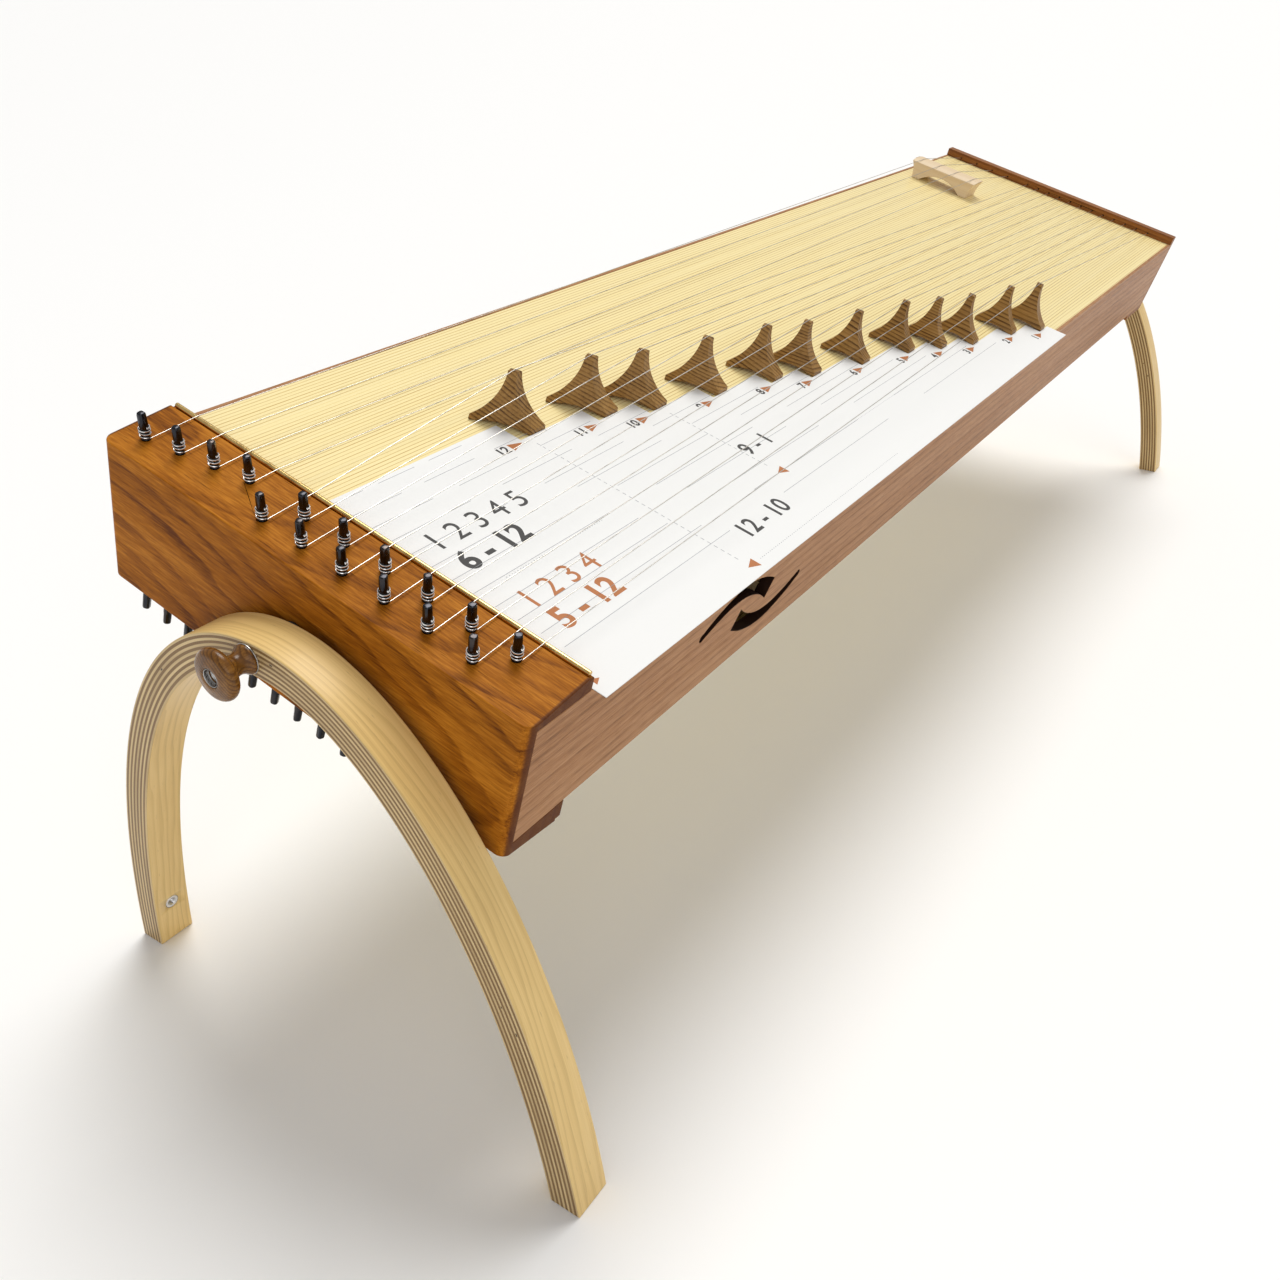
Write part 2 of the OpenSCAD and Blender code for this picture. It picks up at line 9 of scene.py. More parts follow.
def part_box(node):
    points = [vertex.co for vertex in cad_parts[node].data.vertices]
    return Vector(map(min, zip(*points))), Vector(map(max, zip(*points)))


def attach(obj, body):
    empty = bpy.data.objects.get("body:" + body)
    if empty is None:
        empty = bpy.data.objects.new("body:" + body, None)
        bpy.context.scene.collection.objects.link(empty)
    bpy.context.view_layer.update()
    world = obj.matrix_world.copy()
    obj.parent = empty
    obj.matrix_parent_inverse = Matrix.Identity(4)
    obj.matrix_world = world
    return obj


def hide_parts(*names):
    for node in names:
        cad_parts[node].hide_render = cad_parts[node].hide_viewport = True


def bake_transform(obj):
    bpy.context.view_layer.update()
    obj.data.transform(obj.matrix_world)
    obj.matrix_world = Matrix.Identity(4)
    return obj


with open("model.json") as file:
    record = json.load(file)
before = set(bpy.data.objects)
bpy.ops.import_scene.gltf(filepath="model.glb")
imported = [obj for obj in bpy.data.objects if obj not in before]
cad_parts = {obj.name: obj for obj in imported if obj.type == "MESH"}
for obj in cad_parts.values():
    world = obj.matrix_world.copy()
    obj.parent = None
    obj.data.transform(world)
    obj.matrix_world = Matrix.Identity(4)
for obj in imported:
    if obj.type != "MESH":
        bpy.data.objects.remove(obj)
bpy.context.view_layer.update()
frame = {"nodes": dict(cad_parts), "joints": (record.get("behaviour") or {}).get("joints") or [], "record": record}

MM = 0.001
TAU = 2 * math.pi
NODES = frame["nodes"]
JOINTS = {j["name"]: j for j in frame["joints"]}

# ---- The sound box's own directions: along it, across it and out of its top ----

ALONG = Vector((1, 0, 0))
ACROSS = -Vector(JOINTS["template_slide"]["axis"])
OUT = ALONG.cross(ACROSS)
PIVOT = Vector(JOINTS["box_turn"]["pos_m"])
TILT = math.atan2(ACROSS.z, ACROSS.y)


def to_box(point):
    p = Vector(point) - PIVOT
    return Vector((p.dot(ALONG), p.dot(ACROSS), p.dot(OUT)))


def from_box(x, y, z):
    return PIVOT + ALONG * x + ACROSS * y + OUT * z


def span(node):
    """Lowest and highest corners of a CAD node in the sound box's own directions."""
    points = [to_box(v.co) for v in NODES[node].data.vertices]
    return (Vector([min(p[k] for p in points) for k in range(3)]),
            Vector([max(p[k] for p in points) for k in range(3)]))


# ---- Materials ----

class Shader:
    """A node tree that ends in one Principled shader."""

    def __init__(self, name):
        self.material = bpy.data.materials.new(name)
        self.material.use_nodes = True
        self.tree = self.material.node_tree
        self.tree.nodes.clear()
        self.out = self.tree.nodes.new("ShaderNodeOutputMaterial")
        self.main = self.tree.nodes.new("ShaderNodeBsdfPrincipled")
        self.tree.links.new(self.main.outputs[0], self.out.inputs[0])

    def put(self, socket, value):
        if value is None:
            return
        if isinstance(value, bpy.types.NodeSocket):
            self.tree.links.new(value, socket)
        elif isinstance(value, (tuple, list)) and socket.type == "RGBA" and len(value) == 3:
            socket.default_value = (*value, 1)
        else:
            socket.default_value = value

    def set(self, **inputs):
        for key, value in inputs.items():
            self.put(self.main.inputs[key.replace("_", " ")], value)

    def node(self, kind, settings=None, **inputs):
        n = self.tree.nodes.new("ShaderNode" + kind)
        for key, value in (settings or {}).items():
            setattr(n, key, value)
        for key, value in inputs.items():
            index = int(key[2:]) if key.startswith("in") and key[2:].isdigit() else key.replace("_", " ")
            self.put(n.inputs[index], value)
        return n

    def math(self, operation, a, b=None, c=None, clamp=False):
        n = self.node("Math", {"operation": operation, "use_clamp": clamp}, in0=a, in1=b, in2=c)
        return n.outputs[0]

    def vector(self, operation, a, b=None):
        n = self.node("VectorMath", {"operation": operation}, in0=a, in1=b)
        return n.outputs["Value" if operation in ("LENGTH", "DOT_PRODUCT") else "Vector"]

    def coords(self, kind="Object"):
        return self.node("TexCoord").outputs[kind]

    def stretch(self, vector, scale, shift=(0, 0, 0)):
        return self.node("Mapping", None, Vector=vector, Scale=scale, Location=shift).outputs[0]

    def noise(self, vector, scale=1.0, detail=2.0, rough=0.5, warp=0.0):
        n = self.node("TexNoise", None, Vector=vector, Scale=scale, Detail=detail,
                      Roughness=rough, Distortion=warp)
        return n.outputs["Fac"]

    def range(self, value, low, high, to_low=0.0, to_high=1.0):
        n = self.node("MapRange", {"interpolation_type": "SMOOTHSTEP"}, Value=value)
        for k, v in enumerate((low, high, to_low, to_high), 1):
            self.put(n.inputs[k], v)
        return n.outputs[0]

    def ramp(self, value, stops):
        n = self.node("ValToRGB", None, Fac=value)
        ramp = n.color_ramp
        while len(ramp.elements) < len(stops):
            ramp.elements.new(0.5)
        for element, (place, colour) in zip(ramp.elements, stops):
            element.position = place
            element.color = (*colour, 1)
        return n.outputs[0]

    def mix(self, share, a, b, blend="MIX"):
        n = self.node("Mix", {"data_type": "RGBA", "blend_type": blend})
        self.put(n.inputs[0], share)
        self.put(n.inputs[6], a)
        self.put(n.inputs[7], b)
        return n.outputs[2]

    def bump(self, height, strength, depth, before=None):
        n = self.node("Bump", None, Height=height, Strength=strength, Distance=depth)
        self.put(n.inputs["Normal"], before)
        return n.outputs[0]


def box_coords(s, per_piece=0.0):
    """Object coordinates turned to the sound box's directions; each piece may shift its own way."""
    turned = s.node("VectorRotate", {"rotation_type": "X_AXIS"}, Vector=s.coords(),
                    Center=tuple(PIVOT), Angle=-TILT).outputs[0]
    if per_piece:
        chance = s.node("ObjectInfo").outputs["Random"]
        shift = s.node("CombineXYZ", None, X=s.math("MULTIPLY", chance, 3.1 * per_piece),
                       Y=s.math("MULTIPLY", chance, per_piece),
                       Z=s.math("MULTIPLY", chance, 1.7 * per_piece)).outputs[0]
        turned = s.vector("ADD", turned, shift)
    return turned


GRAIN_ORDER = {"x": (0, 1, 2), "y": (1, 0, 2), "z": (2, 1, 0)}


def grain_coords(s, axis="x", per_piece=0.0):
    """Coordinates whose first number runs along the grain."""
    parts = s.node("SeparateXYZ", None, Vector=box_coords(s, per_piece)).outputs
    order = GRAIN_ORDER[axis]
    return s.node("CombineXYZ", None, X=parts[order[0]], Y=parts[order[1]],
                  Z=parts[order[2]]).outputs[0]


def wood(name, stops, axis="x", ring=0.003, pith=(0.02, -0.4), warp=0.004, late=0.4, streak=0.35,
         fibre=0.25, pores=0.0, rough=0.45, coat=0.0, relief=0.25, per_piece=0.0, patch=0.15,
         dash=0.0, lean=0.0, patch_scale=(5, 16, 16), line=(0.35, 0.9), gloss=0.2, grain_and_painted_shade=None,
         grain_and_shade_colour=(0.022, 0.009, 0.005)):
    """Cut timber: growth rings about a distant pith, fibres and pores along the grain."""
    s = Shader(name)
    p = grain_coords(s, axis, per_piece)
    wander = s.noise(s.stretch(p, (3.5, 22, 22)), detail=3, rough=0.55)
    wander = s.math("MULTIPLY", s.math("SUBTRACT", wander, 0.5), warp * 2)
    across = s.vector("MULTIPLY", s.vector("SUBTRACT", p, (0, pith[0], pith[1])), (0, 1, 1))
    if lean:
        along = s.node("SeparateXYZ", None, Vector=p).outputs[0]
        drift = s.node("CombineXYZ", None, Y=s.math("MULTIPLY", along, lean),
                       Z=s.math("MULTIPLY", along, lean / 3)).outputs[0]
        across = s.vector("ADD", across, drift)
    radius = s.math("ADD", s.vector("LENGTH", across), wander)
    turn = s.math("FRACT", s.math("DIVIDE", radius, ring))
    dark_ring = s.math("MULTIPLY", s.range(turn, *line), s.range(turn, 0.93, 1.0, 1.0, 0.0))
    each_ring = s.noise(s.node("CombineXYZ", None, X=s.math("MULTIPLY", radius, 0.37 / ring)).outputs[0],
                        detail=1)
    dark_ring = s.math("MULTIPLY", dark_ring, s.range(each_ring, 0.25, 0.7, 0.35, 1.0))
    fibres = s.noise(s.stretch(p, (9, 1300, 1300)), detail=4, rough=0.6)
    streaks = s.noise(s.stretch(p, (3, 120, 120)), detail=4, rough=0.6)
    patches = s.noise(s.stretch(p, patch_scale), detail=2)
    dashes = s.noise(s.stretch(p, (85, 1050, 1050)), detail=2, rough=0.55)
    tone = s.math("MULTIPLY", dark_ring, late)
    for part, amount in ((streaks, streak), (fibres, fibre), (patches, patch), (dashes, dash)):
        tone = s.math("ADD", tone, s.math("MULTIPLY", s.math("SUBTRACT", part, 0.5), amount * 2))
    tone = s.math("ADD", tone, 0.32, clamp=True)
    colour = s.ramp(tone, stops)
    height = s.math("ADD", s.math("MULTIPLY", dark_ring, -0.3), fibres)
    if pores:
        pit = s.range(s.noise(s.stretch(p, (70, 2600, 2600)), detail=1), 0.64, 0.72)
        colour = s.mix(s.math("MULTIPLY", pit, pores), colour, tuple(0.35 * c for c in stops[-1][1]))
        height = s.math("SUBTRACT", height, s.math("MULTIPLY", pit, 1.2))
    # Painted shade: the wood is mixed towards a dark colour where the given share says. The near-black default is
    # shade inside the sound hole; on the pin block the darkening is end grain together with painted shade.
    if grain_and_painted_shade:
        colour = s.mix(grain_and_painted_shade(s), colour, grain_and_shade_colour)
    sheen = s.math("ADD", s.math("MULTIPLY", s.math("SUBTRACT", streaks, 0.5), 0.25), rough)
    s.set(Base_Color=colour, Roughness=sheen, Coat_Weight=coat, Coat_Roughness=0.25,
          Normal=s.bump(height, relief, 0.12 * MM))
    s.main.inputs["Specular IOR Level"].default_value = gloss
    return s.material


def end_grain(s):
    """Share of the block's two side faces, to be darkened: end grain, which takes up more finish, together with
    painted shade on these faces.
    """
    high = span("pin_block")[1].y
    across = s.vector("DOT_PRODUCT", s.vector("SUBTRACT", box_coords(s), tuple(PIVOT)), (0, 1, 0))
    return s.range(s.math("ABSOLUTE", across), high - 2.2 * MM, high - 0.6 * MM, 0.0, 0.85)


def scorched_hole(s):
    """Share of the sound hole's sawn edges in the near wall's surface, painted near-black as shade inside the
    hole.
    """
    low, high = span("near_side_wall")
    middle = (low.z + high.z) / 2
    inside = [p.x for p in map(to_box, (v.co for v in NODES["near_side_wall"].data.vertices))
              if abs(p.z - middle) < 0.38 * (high.z - low.z)]
    turned = s.vector("SUBTRACT", box_coords(s), tuple(PIVOT))
    parts = s.node("SeparateXYZ", None, Vector=turned).outputs
    facing = s.vector("DOT_PRODUCT", s.node("NewGeometry").outputs["True Normal"], tuple(ACROSS))
    share = s.math("LESS_THAN", s.math("ABSOLUTE", facing), 0.5)
    for test, value, limit in (("GREATER_THAN", parts[0], min(inside) - 1 * MM),
                               ("LESS_THAN", parts[0], max(inside) + 1 * MM),
                               ("GREATER_THAN", parts[2], low.z + 2 * MM),
                               ("LESS_THAN", parts[2], high.z - 2 * MM)):
        share = s.math("MULTIPLY", share, s.math(test, value, limit))
    return share


def metal(name, colour, rough=0.25, scratch=0.15, grain=(400, 400, 400), tarnish=None, metallic=1.0):
    """Metal with fine scratches, uneven polish and some tarnish."""
    s = Shader(name)
    p = box_coords(s, 0.3)
    fine = s.noise(s.stretch(p, grain), scale=4, detail=4, rough=0.7)
    cloud = s.noise(p, scale=70, detail=3)
    tarnish = tarnish or tuple(0.55 * c for c in colour)
    s.set(Base_Color=s.mix(s.range(cloud, 0.4, 0.8), colour, tarnish), Metallic=metallic,
          Roughness=s.math("ADD", s.math("MULTIPLY", s.math("SUBTRACT", fine, 0.5), scratch * 2), rough),
          Normal=s.bump(fine, 0.12, 0.05 * MM))
    return s.material


def plain(name, colour, rough, fleck=0.1, scale=1500, relief=0.3, coat=0.0):
    """Card, fibre or rubber: an even colour broken by fine flecks."""
    s = Shader(name)
    p = box_coords(s)
    fine = s.noise(p, scale=scale, detail=4, rough=0.65)
    broad = s.noise(p, scale=14, detail=3)
    tint = s.mix(s.math("MULTIPLY", fine, fleck), colour, tuple(0.4 * c for c in colour))
    tint = s.mix(s.range(broad, 0.45, 0.75, 0.0, fleck * 0.6), tint, tuple(0.75 * c for c in colour))
    s.set(Base_Color=tint, Roughness=s.math("ADD", s.math("MULTIPLY", fine, 0.15), rough),
          Coat_Weight=coat, Normal=s.bump(fine, relief, 0.05 * MM))
    return s.material


PLY_T = 20 * MM
PLY_COUNT = 13


def ply_edge():
    """Sawn edge of bent plywood: thin layers, every other one end grain, with small gaps painted near-black as
    shade.
    """
    s = Shader("ply_edge")
    parts = s.node("SeparateXYZ", None, Vector=s.coords("UV")).outputs
    arc, depth = parts[0], parts[1]
    sway = s.noise(s.node("CombineXYZ", None, X=s.math("MULTIPLY", arc, 9)).outputs[0], detail=2)
    shift = s.math("MULTIPLY", s.math("SUBTRACT", sway, 0.5), 0.018)
    layer = s.math("MULTIPLY", s.math("ADD", depth, shift), PLY_COUNT)
    number = s.math("FLOOR", layer)
    place = s.math("FRACT", layer)
    odd = s.math("MODULO", number, 2.0)
    long_way = s.node("CombineXYZ", None, X=s.math("MULTIPLY", arc, 14), Y=s.math("MULTIPLY", depth, 260),
                      Z=number).outputs[0]
    end_way = s.node("CombineXYZ", None, X=s.math("MULTIPLY", arc, 900), Y=s.math("MULTIPLY", depth, 60),
                     Z=number).outputs[0]
    long_grain = s.noise(long_way, detail=4, rough=0.6)
    end_grain = s.noise(end_way, detail=3, rough=0.7)
    light = s.ramp(long_grain, [(0.25, (0.55, 0.38, 0.16)), (0.55, (0.74, 0.55, 0.28)),
                                (0.8, (0.86, 0.69, 0.41))])
    dark = s.ramp(end_grain, [(0.2, (0.10, 0.048, 0.014)), (0.55, (0.25, 0.14, 0.048)),
                              (0.85, (0.44, 0.28, 0.12))])
    colour = s.mix(odd, light, dark)
    layer_at = s.node("CombineXYZ", None, X=number, Y=s.math("MULTIPLY", arc, 2.2)).outputs[0]
    each = s.noise(layer_at, scale=3.7)
    colour = s.mix(s.range(each, 0.4, 0.7, 0.0, 0.5), colour, (0.30, 0.18, 0.07))
    glue = s.math("ADD", s.range(place, 0.0, 0.1, 1.0, 0.0), s.range(place, 0.93, 1.0))
    colour = s.mix(s.math("MULTIPLY", glue, 0.5), colour, (0.13, 0.07, 0.03))
    # Small voids in the long-grain layers: painted shade, near-black, and pressed in by the bump.
    gap_at = s.node("CombineXYZ", None, X=s.math("MULTIPLY", arc, 130),
                    Y=s.math("MULTIPLY", number, 7.3)).outputs[0]
    painted_gap_shade = s.math("MULTIPLY", s.range(s.noise(gap_at, detail=1), 0.74, 0.78),
                 s.math("MULTIPLY", s.range(place, 0.12, 0.3), s.range(place, 0.65, 0.85, 1.0, 0.0)))
    painted_gap_shade = s.math("MULTIPLY", painted_gap_shade, s.math("SUBTRACT", 1.0, odd))
    colour = s.mix(painted_gap_shade, colour, (0.035, 0.02, 0.01))
    height = s.math("SUBTRACT", s.math("MULTIPLY", s.mix(odd, long_grain, end_grain), 0.6),
                    s.math("ADD", s.math("MULTIPLY", glue, 0.35), s.math("MULTIPLY", painted_gap_shade, 2.0)))
    s.set(Base_Color=colour, Roughness=s.range(end_grain, 0.2, 0.8, 0.36, 0.52), Coat_Weight=0.08,
          Coat_Roughness=0.3, Normal=s.bump(height, 0.35, 0.12 * MM))
    s.main.inputs["Specular IOR Level"].default_value = 0.25
    return s.material


def ply_face():
    """Birch face veneer of the stand, lacquered, its grain running round the arch."""
    s = Shader("ply_face")
    parts = s.node("SeparateXYZ", None, Vector=s.coords("UV")).outputs
    p = s.node("CombineXYZ", None, X=parts[0], Y=parts[1]).outputs[0]
    wander = s.math("MULTIPLY", s.noise(s.stretch(p, (3, 26, 1)), detail=3), 0.05)
    line = s.math("FRACT", s.math("MULTIPLY", s.math("ADD", parts[1], wander), 170))
    rings = s.range(line, 0.4, 0.95)
    fibres = s.noise(s.stretch(p, (16, 1100, 1)), detail=4, rough=0.6)
    flecks = s.noise(s.stretch(p, (120, 900, 1)), detail=2)
    patches = s.noise(s.stretch(p, (7, 30, 1)), detail=3)
    tone = s.math("ADD", s.math("MULTIPLY", rings, 0.16), s.math("MULTIPLY", fibres, 0.42))
    tone = s.math("ADD", tone, s.math("MULTIPLY", patches, 0.42))
    colour = s.ramp(tone, [(0.25, (0.90, 0.65, 0.28)), (0.5, (0.78, 0.54, 0.205)),
                           (0.8, (0.56, 0.36, 0.125))])
    colour = s.mix(s.range(flecks, 0.66, 0.76, 0.0, 0.3), colour, (0.34, 0.21, 0.08))
    s.set(Base_Color=colour, Roughness=s.range(patches, 0.3, 0.7, 0.32, 0.45), Coat_Weight=0.15,
          Coat_Roughness=0.25, Normal=s.bump(fibres, 0.18, 0.1 * MM))
    s.main.inputs["Specular IOR Level"].default_value = 0.3
    return s.material


MATERIAL = {
    "ply_edge": ply_edge(),
    "ply_face": ply_face(),
    "fibre": plain("fibre", (0.035, 0.032, 0.03), 0.6),
    "steel": metal("steel", (0.62, 0.61, 0.60), 0.28),
    "knob_wood": wood("knob_wood", [(0.0, (0.40, 0.19, 0.035)), (0.4, (0.17, 0.068, 0.011)),
                                    (0.8, (0.035, 0.013, 0.003))],
                      ring=0.0019, pith=(0.035, -0.06 + PIVOT.z), warp=0.004, late=0.34, rough=0.25,
                      coat=0.2, relief=0.1),
    "block_wood": wood("block_wood", [(0.0, (0.54, 0.200, 0.018)), (0.42, (0.36, 0.116, 0.007)),
                                      (1.0, (0.12, 0.030, 0.002))],
                       axis="y", ring=0.011, pith=(-0.50, 0.235), warp=0.018, late=0.45, streak=0.22,
                       fibre=0.16, dash=0.6, pores=0.6, rough=0.46, coat=0.0, patch=0.5, lean=0.25,
                       # The pin block's side faces are darkened: end grain, and painted shade.
                       patch_scale=(7, 30, 30), line=(0.5, 0.92), gloss=0.05, grain_and_painted_shade=end_grain,
                       grain_and_shade_colour=(0.085, 0.028, 0.014)),
    "ledge_wood": wood("ledge_wood", [(0.0, (0.38, 0.15, 0.035)), (0.45, (0.26, 0.09, 0.018)),
                                      (1.0, (0.10, 0.03, 0.006))],
                       axis="y", ring=0.005, pith=(0.5, 0.1), warp=0.006, late=0.35, dash=0.4,
                       pores=0.5, rough=0.45, patch=0.3),
    "wall_wood": wood("wall_wood", [(0.0, (0.50, 0.265, 0.125)), (0.45, (0.375, 0.175, 0.072)),
                                    (1.0, (0.15, 0.058, 0.02))],
                      ring=0.0078, pith=(-0.45, -0.75), warp=0.0025, late=0.34, streak=0.25, fibre=0.3,
                      dash=0.5, pores=0.45, rough=0.45, coat=0.04, patch=0.2, line=(0.45, 0.9),
                      # The sound hole's sawn edges get painted shade, near-black.
                      gloss=0.12, grain_and_painted_shade=scorched_hole),
    "board_wood": wood("board_wood", [(0.0, (0.96, 0.84, 0.50)), (0.45, (0.92, 0.76, 0.36)),
                                      (1.0, (0.50, 0.31, 0.09))],
                       ring=0.0029, pith=(-1.1, 0.4), warp=0.0006, late=0.75, streak=0.14, fibre=0.3,
                       rough=0.36, coat=0.08, relief=0.2, patch=0.08, line=(0.62, 0.9)),
    "brace_wood": wood("brace_wood", [(0.0, (0.80, 0.63, 0.38)), (0.5, (0.68, 0.49, 0.26)),
                                      (1.0, (0.42, 0.26, 0.11))],
                       axis="y", ring=0.0025, pith=(0.3, -0.3), rough=0.55),
    "brass": metal("brass", (0.80, 0.56, 0.22), 0.22, tarnish=(0.48, 0.29, 0.10)),
    "bridge_wood": wood("bridge_wood", [(0.0, (0.47, 0.27, 0.09)), (0.4, (0.33, 0.175, 0.05)),
                                        (0.95, (0.075, 0.03, 0.007))],
                        axis="y", ring=0.0024, pith=(0.05, 0.06), warp=0.004, late=0.6, streak=0.3,
                        fibre=0.2, dash=0.3, pores=0.35, rough=0.4, coat=0.06, per_piece=0.9),
    "pale_wood": wood("pale_wood", [(0.0, (0.86, 0.70, 0.50)), (0.5, (0.76, 0.58, 0.37)),
                                    (1.0, (0.50, 0.33, 0.18))],
                      axis="y", ring=0.004, pith=(0.1, 0.2), warp=0.006, late=0.22, rough=0.5, patch=0.3),
    "blued_steel": metal("blued_steel", (0.035, 0.036, 0.042), 0.2, scratch=0.1,
                         tarnish=(0.075, 0.062, 0.055)),
    "string_steel": metal("string_steel", (0.62, 0.59, 0.54), 0.34, scratch=0.08),
    # Same wire as the strings, made near-white as a painted highlight for the bright rings of the coils.
    "coil_steel": metal("coil_steel", (0.95, 0.94, 0.92), 0.16, scratch=0.05),
    "paper": plain("paper", (0.88, 0.88, 0.87), 0.62, fleck=0.05, scale=900, relief=0.15),
    "grey_lines_on_sheet": plain("grey_lines_on_sheet", (0.42, 0.43, 0.45), 0.6, fleck=0.2),
    "print_dark": plain("print_dark", (0.05, 0.048, 0.047), 0.6, fleck=0.2),
    "print_orange": plain("print_orange", (0.50, 0.17, 0.045), 0.55, fleck=0.15),
}


# ---- Mesh helpers ----

class Maker:
    """Collects closed shapes, in the row frame, into one mesh."""

    def __init__(self):
        self.points, self.faces, self.marks, self.uvs = [], [], [], []

    def add(self, points, faces, mark=0, uvs=None):
        base = len(self.points)
        self.points += [Vector(p) for p in points]
        for k, f in enumerate(faces):
            self.faces.append([base + i for i in f])
            self.marks.append(mark if isinstance(mark, int) else mark[k])
            self.uvs.append(uvs[k] if uvs else [(0, 0)] * len(f))

    def rings(self, loops, mark=0, closed=False):
        """Skin through loops of the same number of points; ends are capped unless it closes."""
        n = len(loops[0])
        points = [p for loop in loops for p in loop]
        faces = []
        count = len(loops)
        for r in range(count if closed else count - 1):
            a, b = r * n, (r + 1) % count * n
            faces += [[a + k, a + (k + 1) % n, b + (k + 1) % n, b + k] for k in range(n)]
        if not closed:
            faces.append(list(range(n - 1, -1, -1)))
            faces.append([(count - 1) * n + k for k in range(n)])
        self.add(points, faces, mark)

    def tube(self, path, radius, sides=8, mark=0):
        """Round wire through the points of a path, mitred at each bend."""
        path = [Vector(p) for p in path]
        loops = []
        side = None
        for k, p in enumerate(path):
            before = (p - path[k - 1]).normalized() if k else None
            after = (path[k + 1] - p).normalized() if k + 1 < len(path) else None
            along = ((before or after) + (after or before)).normalized()
            if side is None:
                side = along.orthogonal().normalized()
            side = (side - along * side.dot(along)).normalized()
            other = along.cross(side)
            grow = 1 / max(0.5, along.dot(before)) if before and after else 1
            loop = []
            for i in range(sides):
                a = TAU * i / sides
                q = side * math.cos(a) + other * math.sin(a)
                loop.append(p + q * radius * (grow if grow > 1.001 else 1))
            loops.append(loop)
        self.rings(loops, mark)

    def lathe(self, profile, place, axis, sides=48, mark=0, closed=False, shape=None):
        """Turned shape: (radius, height) pairs about an axis from a place."""
        axis = Vector(axis).normalized()
        side = axis.orthogonal().normalized() if abs(axis.x) > 0.9 else (ALONG - axis * axis.x).normalized()
        other = axis.cross(side)
        loops = []
        for r, h in profile:
            loop = []
            for i in range(sides):
                a = TAU * i / sides
                k = shape(a, h) if shape else 1
                loop.append(Vector(place) + axis * h + (side * math.cos(a) + other * math.sin(a)) * (r * k))
            loops.append(loop)
        self.rings(loops, mark, closed)

    def slab(self, outline, place, mark=0):
        """Thin closed sheet: outline points in (x, y) of the box, between two heights."""
        low = [from_box(x, y, place[0]) for x, y in outline]
        high = [from_box(x, y, place[1]) for x, y in outline]
        n = len(outline)
        area = sum(outline[k][0] * outline[(k + 1) % n][1] - outline[(k + 1) % n][0] * outline[k][1]
                   for k in range(n))
        if area < 0:
            low.reverse()
            high.reverse()
        faces = [[k, (k + 1) % n, n + (k + 1) % n, n + k] for k in range(n)]
        self.add(low + high, faces + [list(range(n - 1, -1, -1)), [n + k for k in range(n)]], mark)

    def build(self, name, materials, body, slot=None, stands_for=(), smooth=True, bevel=0.0, angle=35):
        mesh = bpy.data.meshes.new(name)
        mesh.from_pydata([tuple(p) for p in self.points], [], self.faces)
        layer = mesh.uv_layers.new(name="UVMap")
        flat = [c for face in self.uvs for uv in face for c in uv]
        layer.data.foreach_set("uv", flat)
        for polygon, mark in zip(mesh.polygons, self.marks):
            polygon.material_index = mark
            polygon.use_smooth = smooth
        obj = bpy.data.objects.new(name, mesh)
        bpy.context.scene.collection.objects.link(obj)
        for m in materials:
            mesh.materials.append(MATERIAL[m])
        if smooth:
            mesh.set_sharp_from_angle(angle=math.radians(angle))
        if bevel:
            round_edges(obj, bevel, angle)
        if body:
            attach(obj, body)
        if stands_for:
            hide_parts(*stands_for)
        return obj


def round_edges(obj, width, angle=35, segments=3):
    bevel = obj.modifiers.new("edges", "BEVEL")
    bevel.width = width
    bevel.segments = segments
    bevel.limit_method = "ANGLE"
    bevel.angle_limit = math.radians(angle)
    bevel.use_clamp_overlap = False
    bevel.harden_normals = False
    obj.modifiers.new("normals", "WEIGHTED_NORMAL").keep_sharp = False


def finish_node(name, material, bevel=0.0, angle=35):
    """Gives a shown CAD node its material, smooth shading and softened edges."""
    obj = NODES[name]
    mesh = obj.data
    mesh.materials.clear()
    mesh.materials.append(MATERIAL[material])
    for polygon in mesh.polygons:
        polygon.use_smooth = True
    if "custom_normal" in mesh.attributes:
        mesh.attributes.remove(mesh.attributes["custom_normal"])
    weld = obj.modifiers.new("weld", "WELD")
    weld.merge_threshold = 0.002 * MM
    if bevel:
        flat = obj.modifiers.new("flat", "DECIMATE")
        flat.decimate_type = "DISSOLVE"
        flat.angle_limit = math.radians(0.5)
        round_edges(obj, bevel, angle, 2)
    else:
        obj.modifiers.new("normals", "WEIGHTED_NORMAL")
    return obj


# ---- Sound box: CAD shapes with their timber ----

finish_node("pin_block", "block_wood", 0.7 * MM)
finish_node("tail_block", "ledge_wood", 0.6 * MM)
for side in ("near", "far"):
    finish_node(side + "_side_wall", "wall_wood", 0.5 * MM)
for side in ("top", "bottom"):
    finish_node(side + "_soundboard", "board_wood", 0.2 * MM)
    finish_node(side + "_braces", "brace_wood", 1.0 * MM)
    finish_node(side + "_nut", "brass", 0.3 * MM, 50)
finish_node("threaded_inserts", "brass", 0.2 * MM, 50)
finish_node("ball_ends", "brass", 0.25 * MM, 50)
finish_node("tambura_bridge", "pale_wood", 0.7 * MM)
finish_node("tone_template", "paper")
KOTO = [n for n in NODES if n.startswith("koto_bridge_")]
for name in sorted(KOTO):
    finish_node(name, "bridge_wood", 0.45 * MM, 28)
for end in ("pin", "tail"):
    finish_node(end + "_end_spacer", "fibre", 0.4 * MM, 50)
    finish_node(end + "_end_washer", "steel", 0.2 * MM, 50)
    finish_node(end + "_end_stud", "steel", 0.4 * MM, 50)

# ---- Tuning pins ----

block_pins = {}
for name, joint in JOINTS.items():
    if name.endswith("_turn") and "_pin_" in name:
        block_pins[joint["child"]] = (Vector(joint["pos_m"]), Vector(joint["axis"]).normalized())


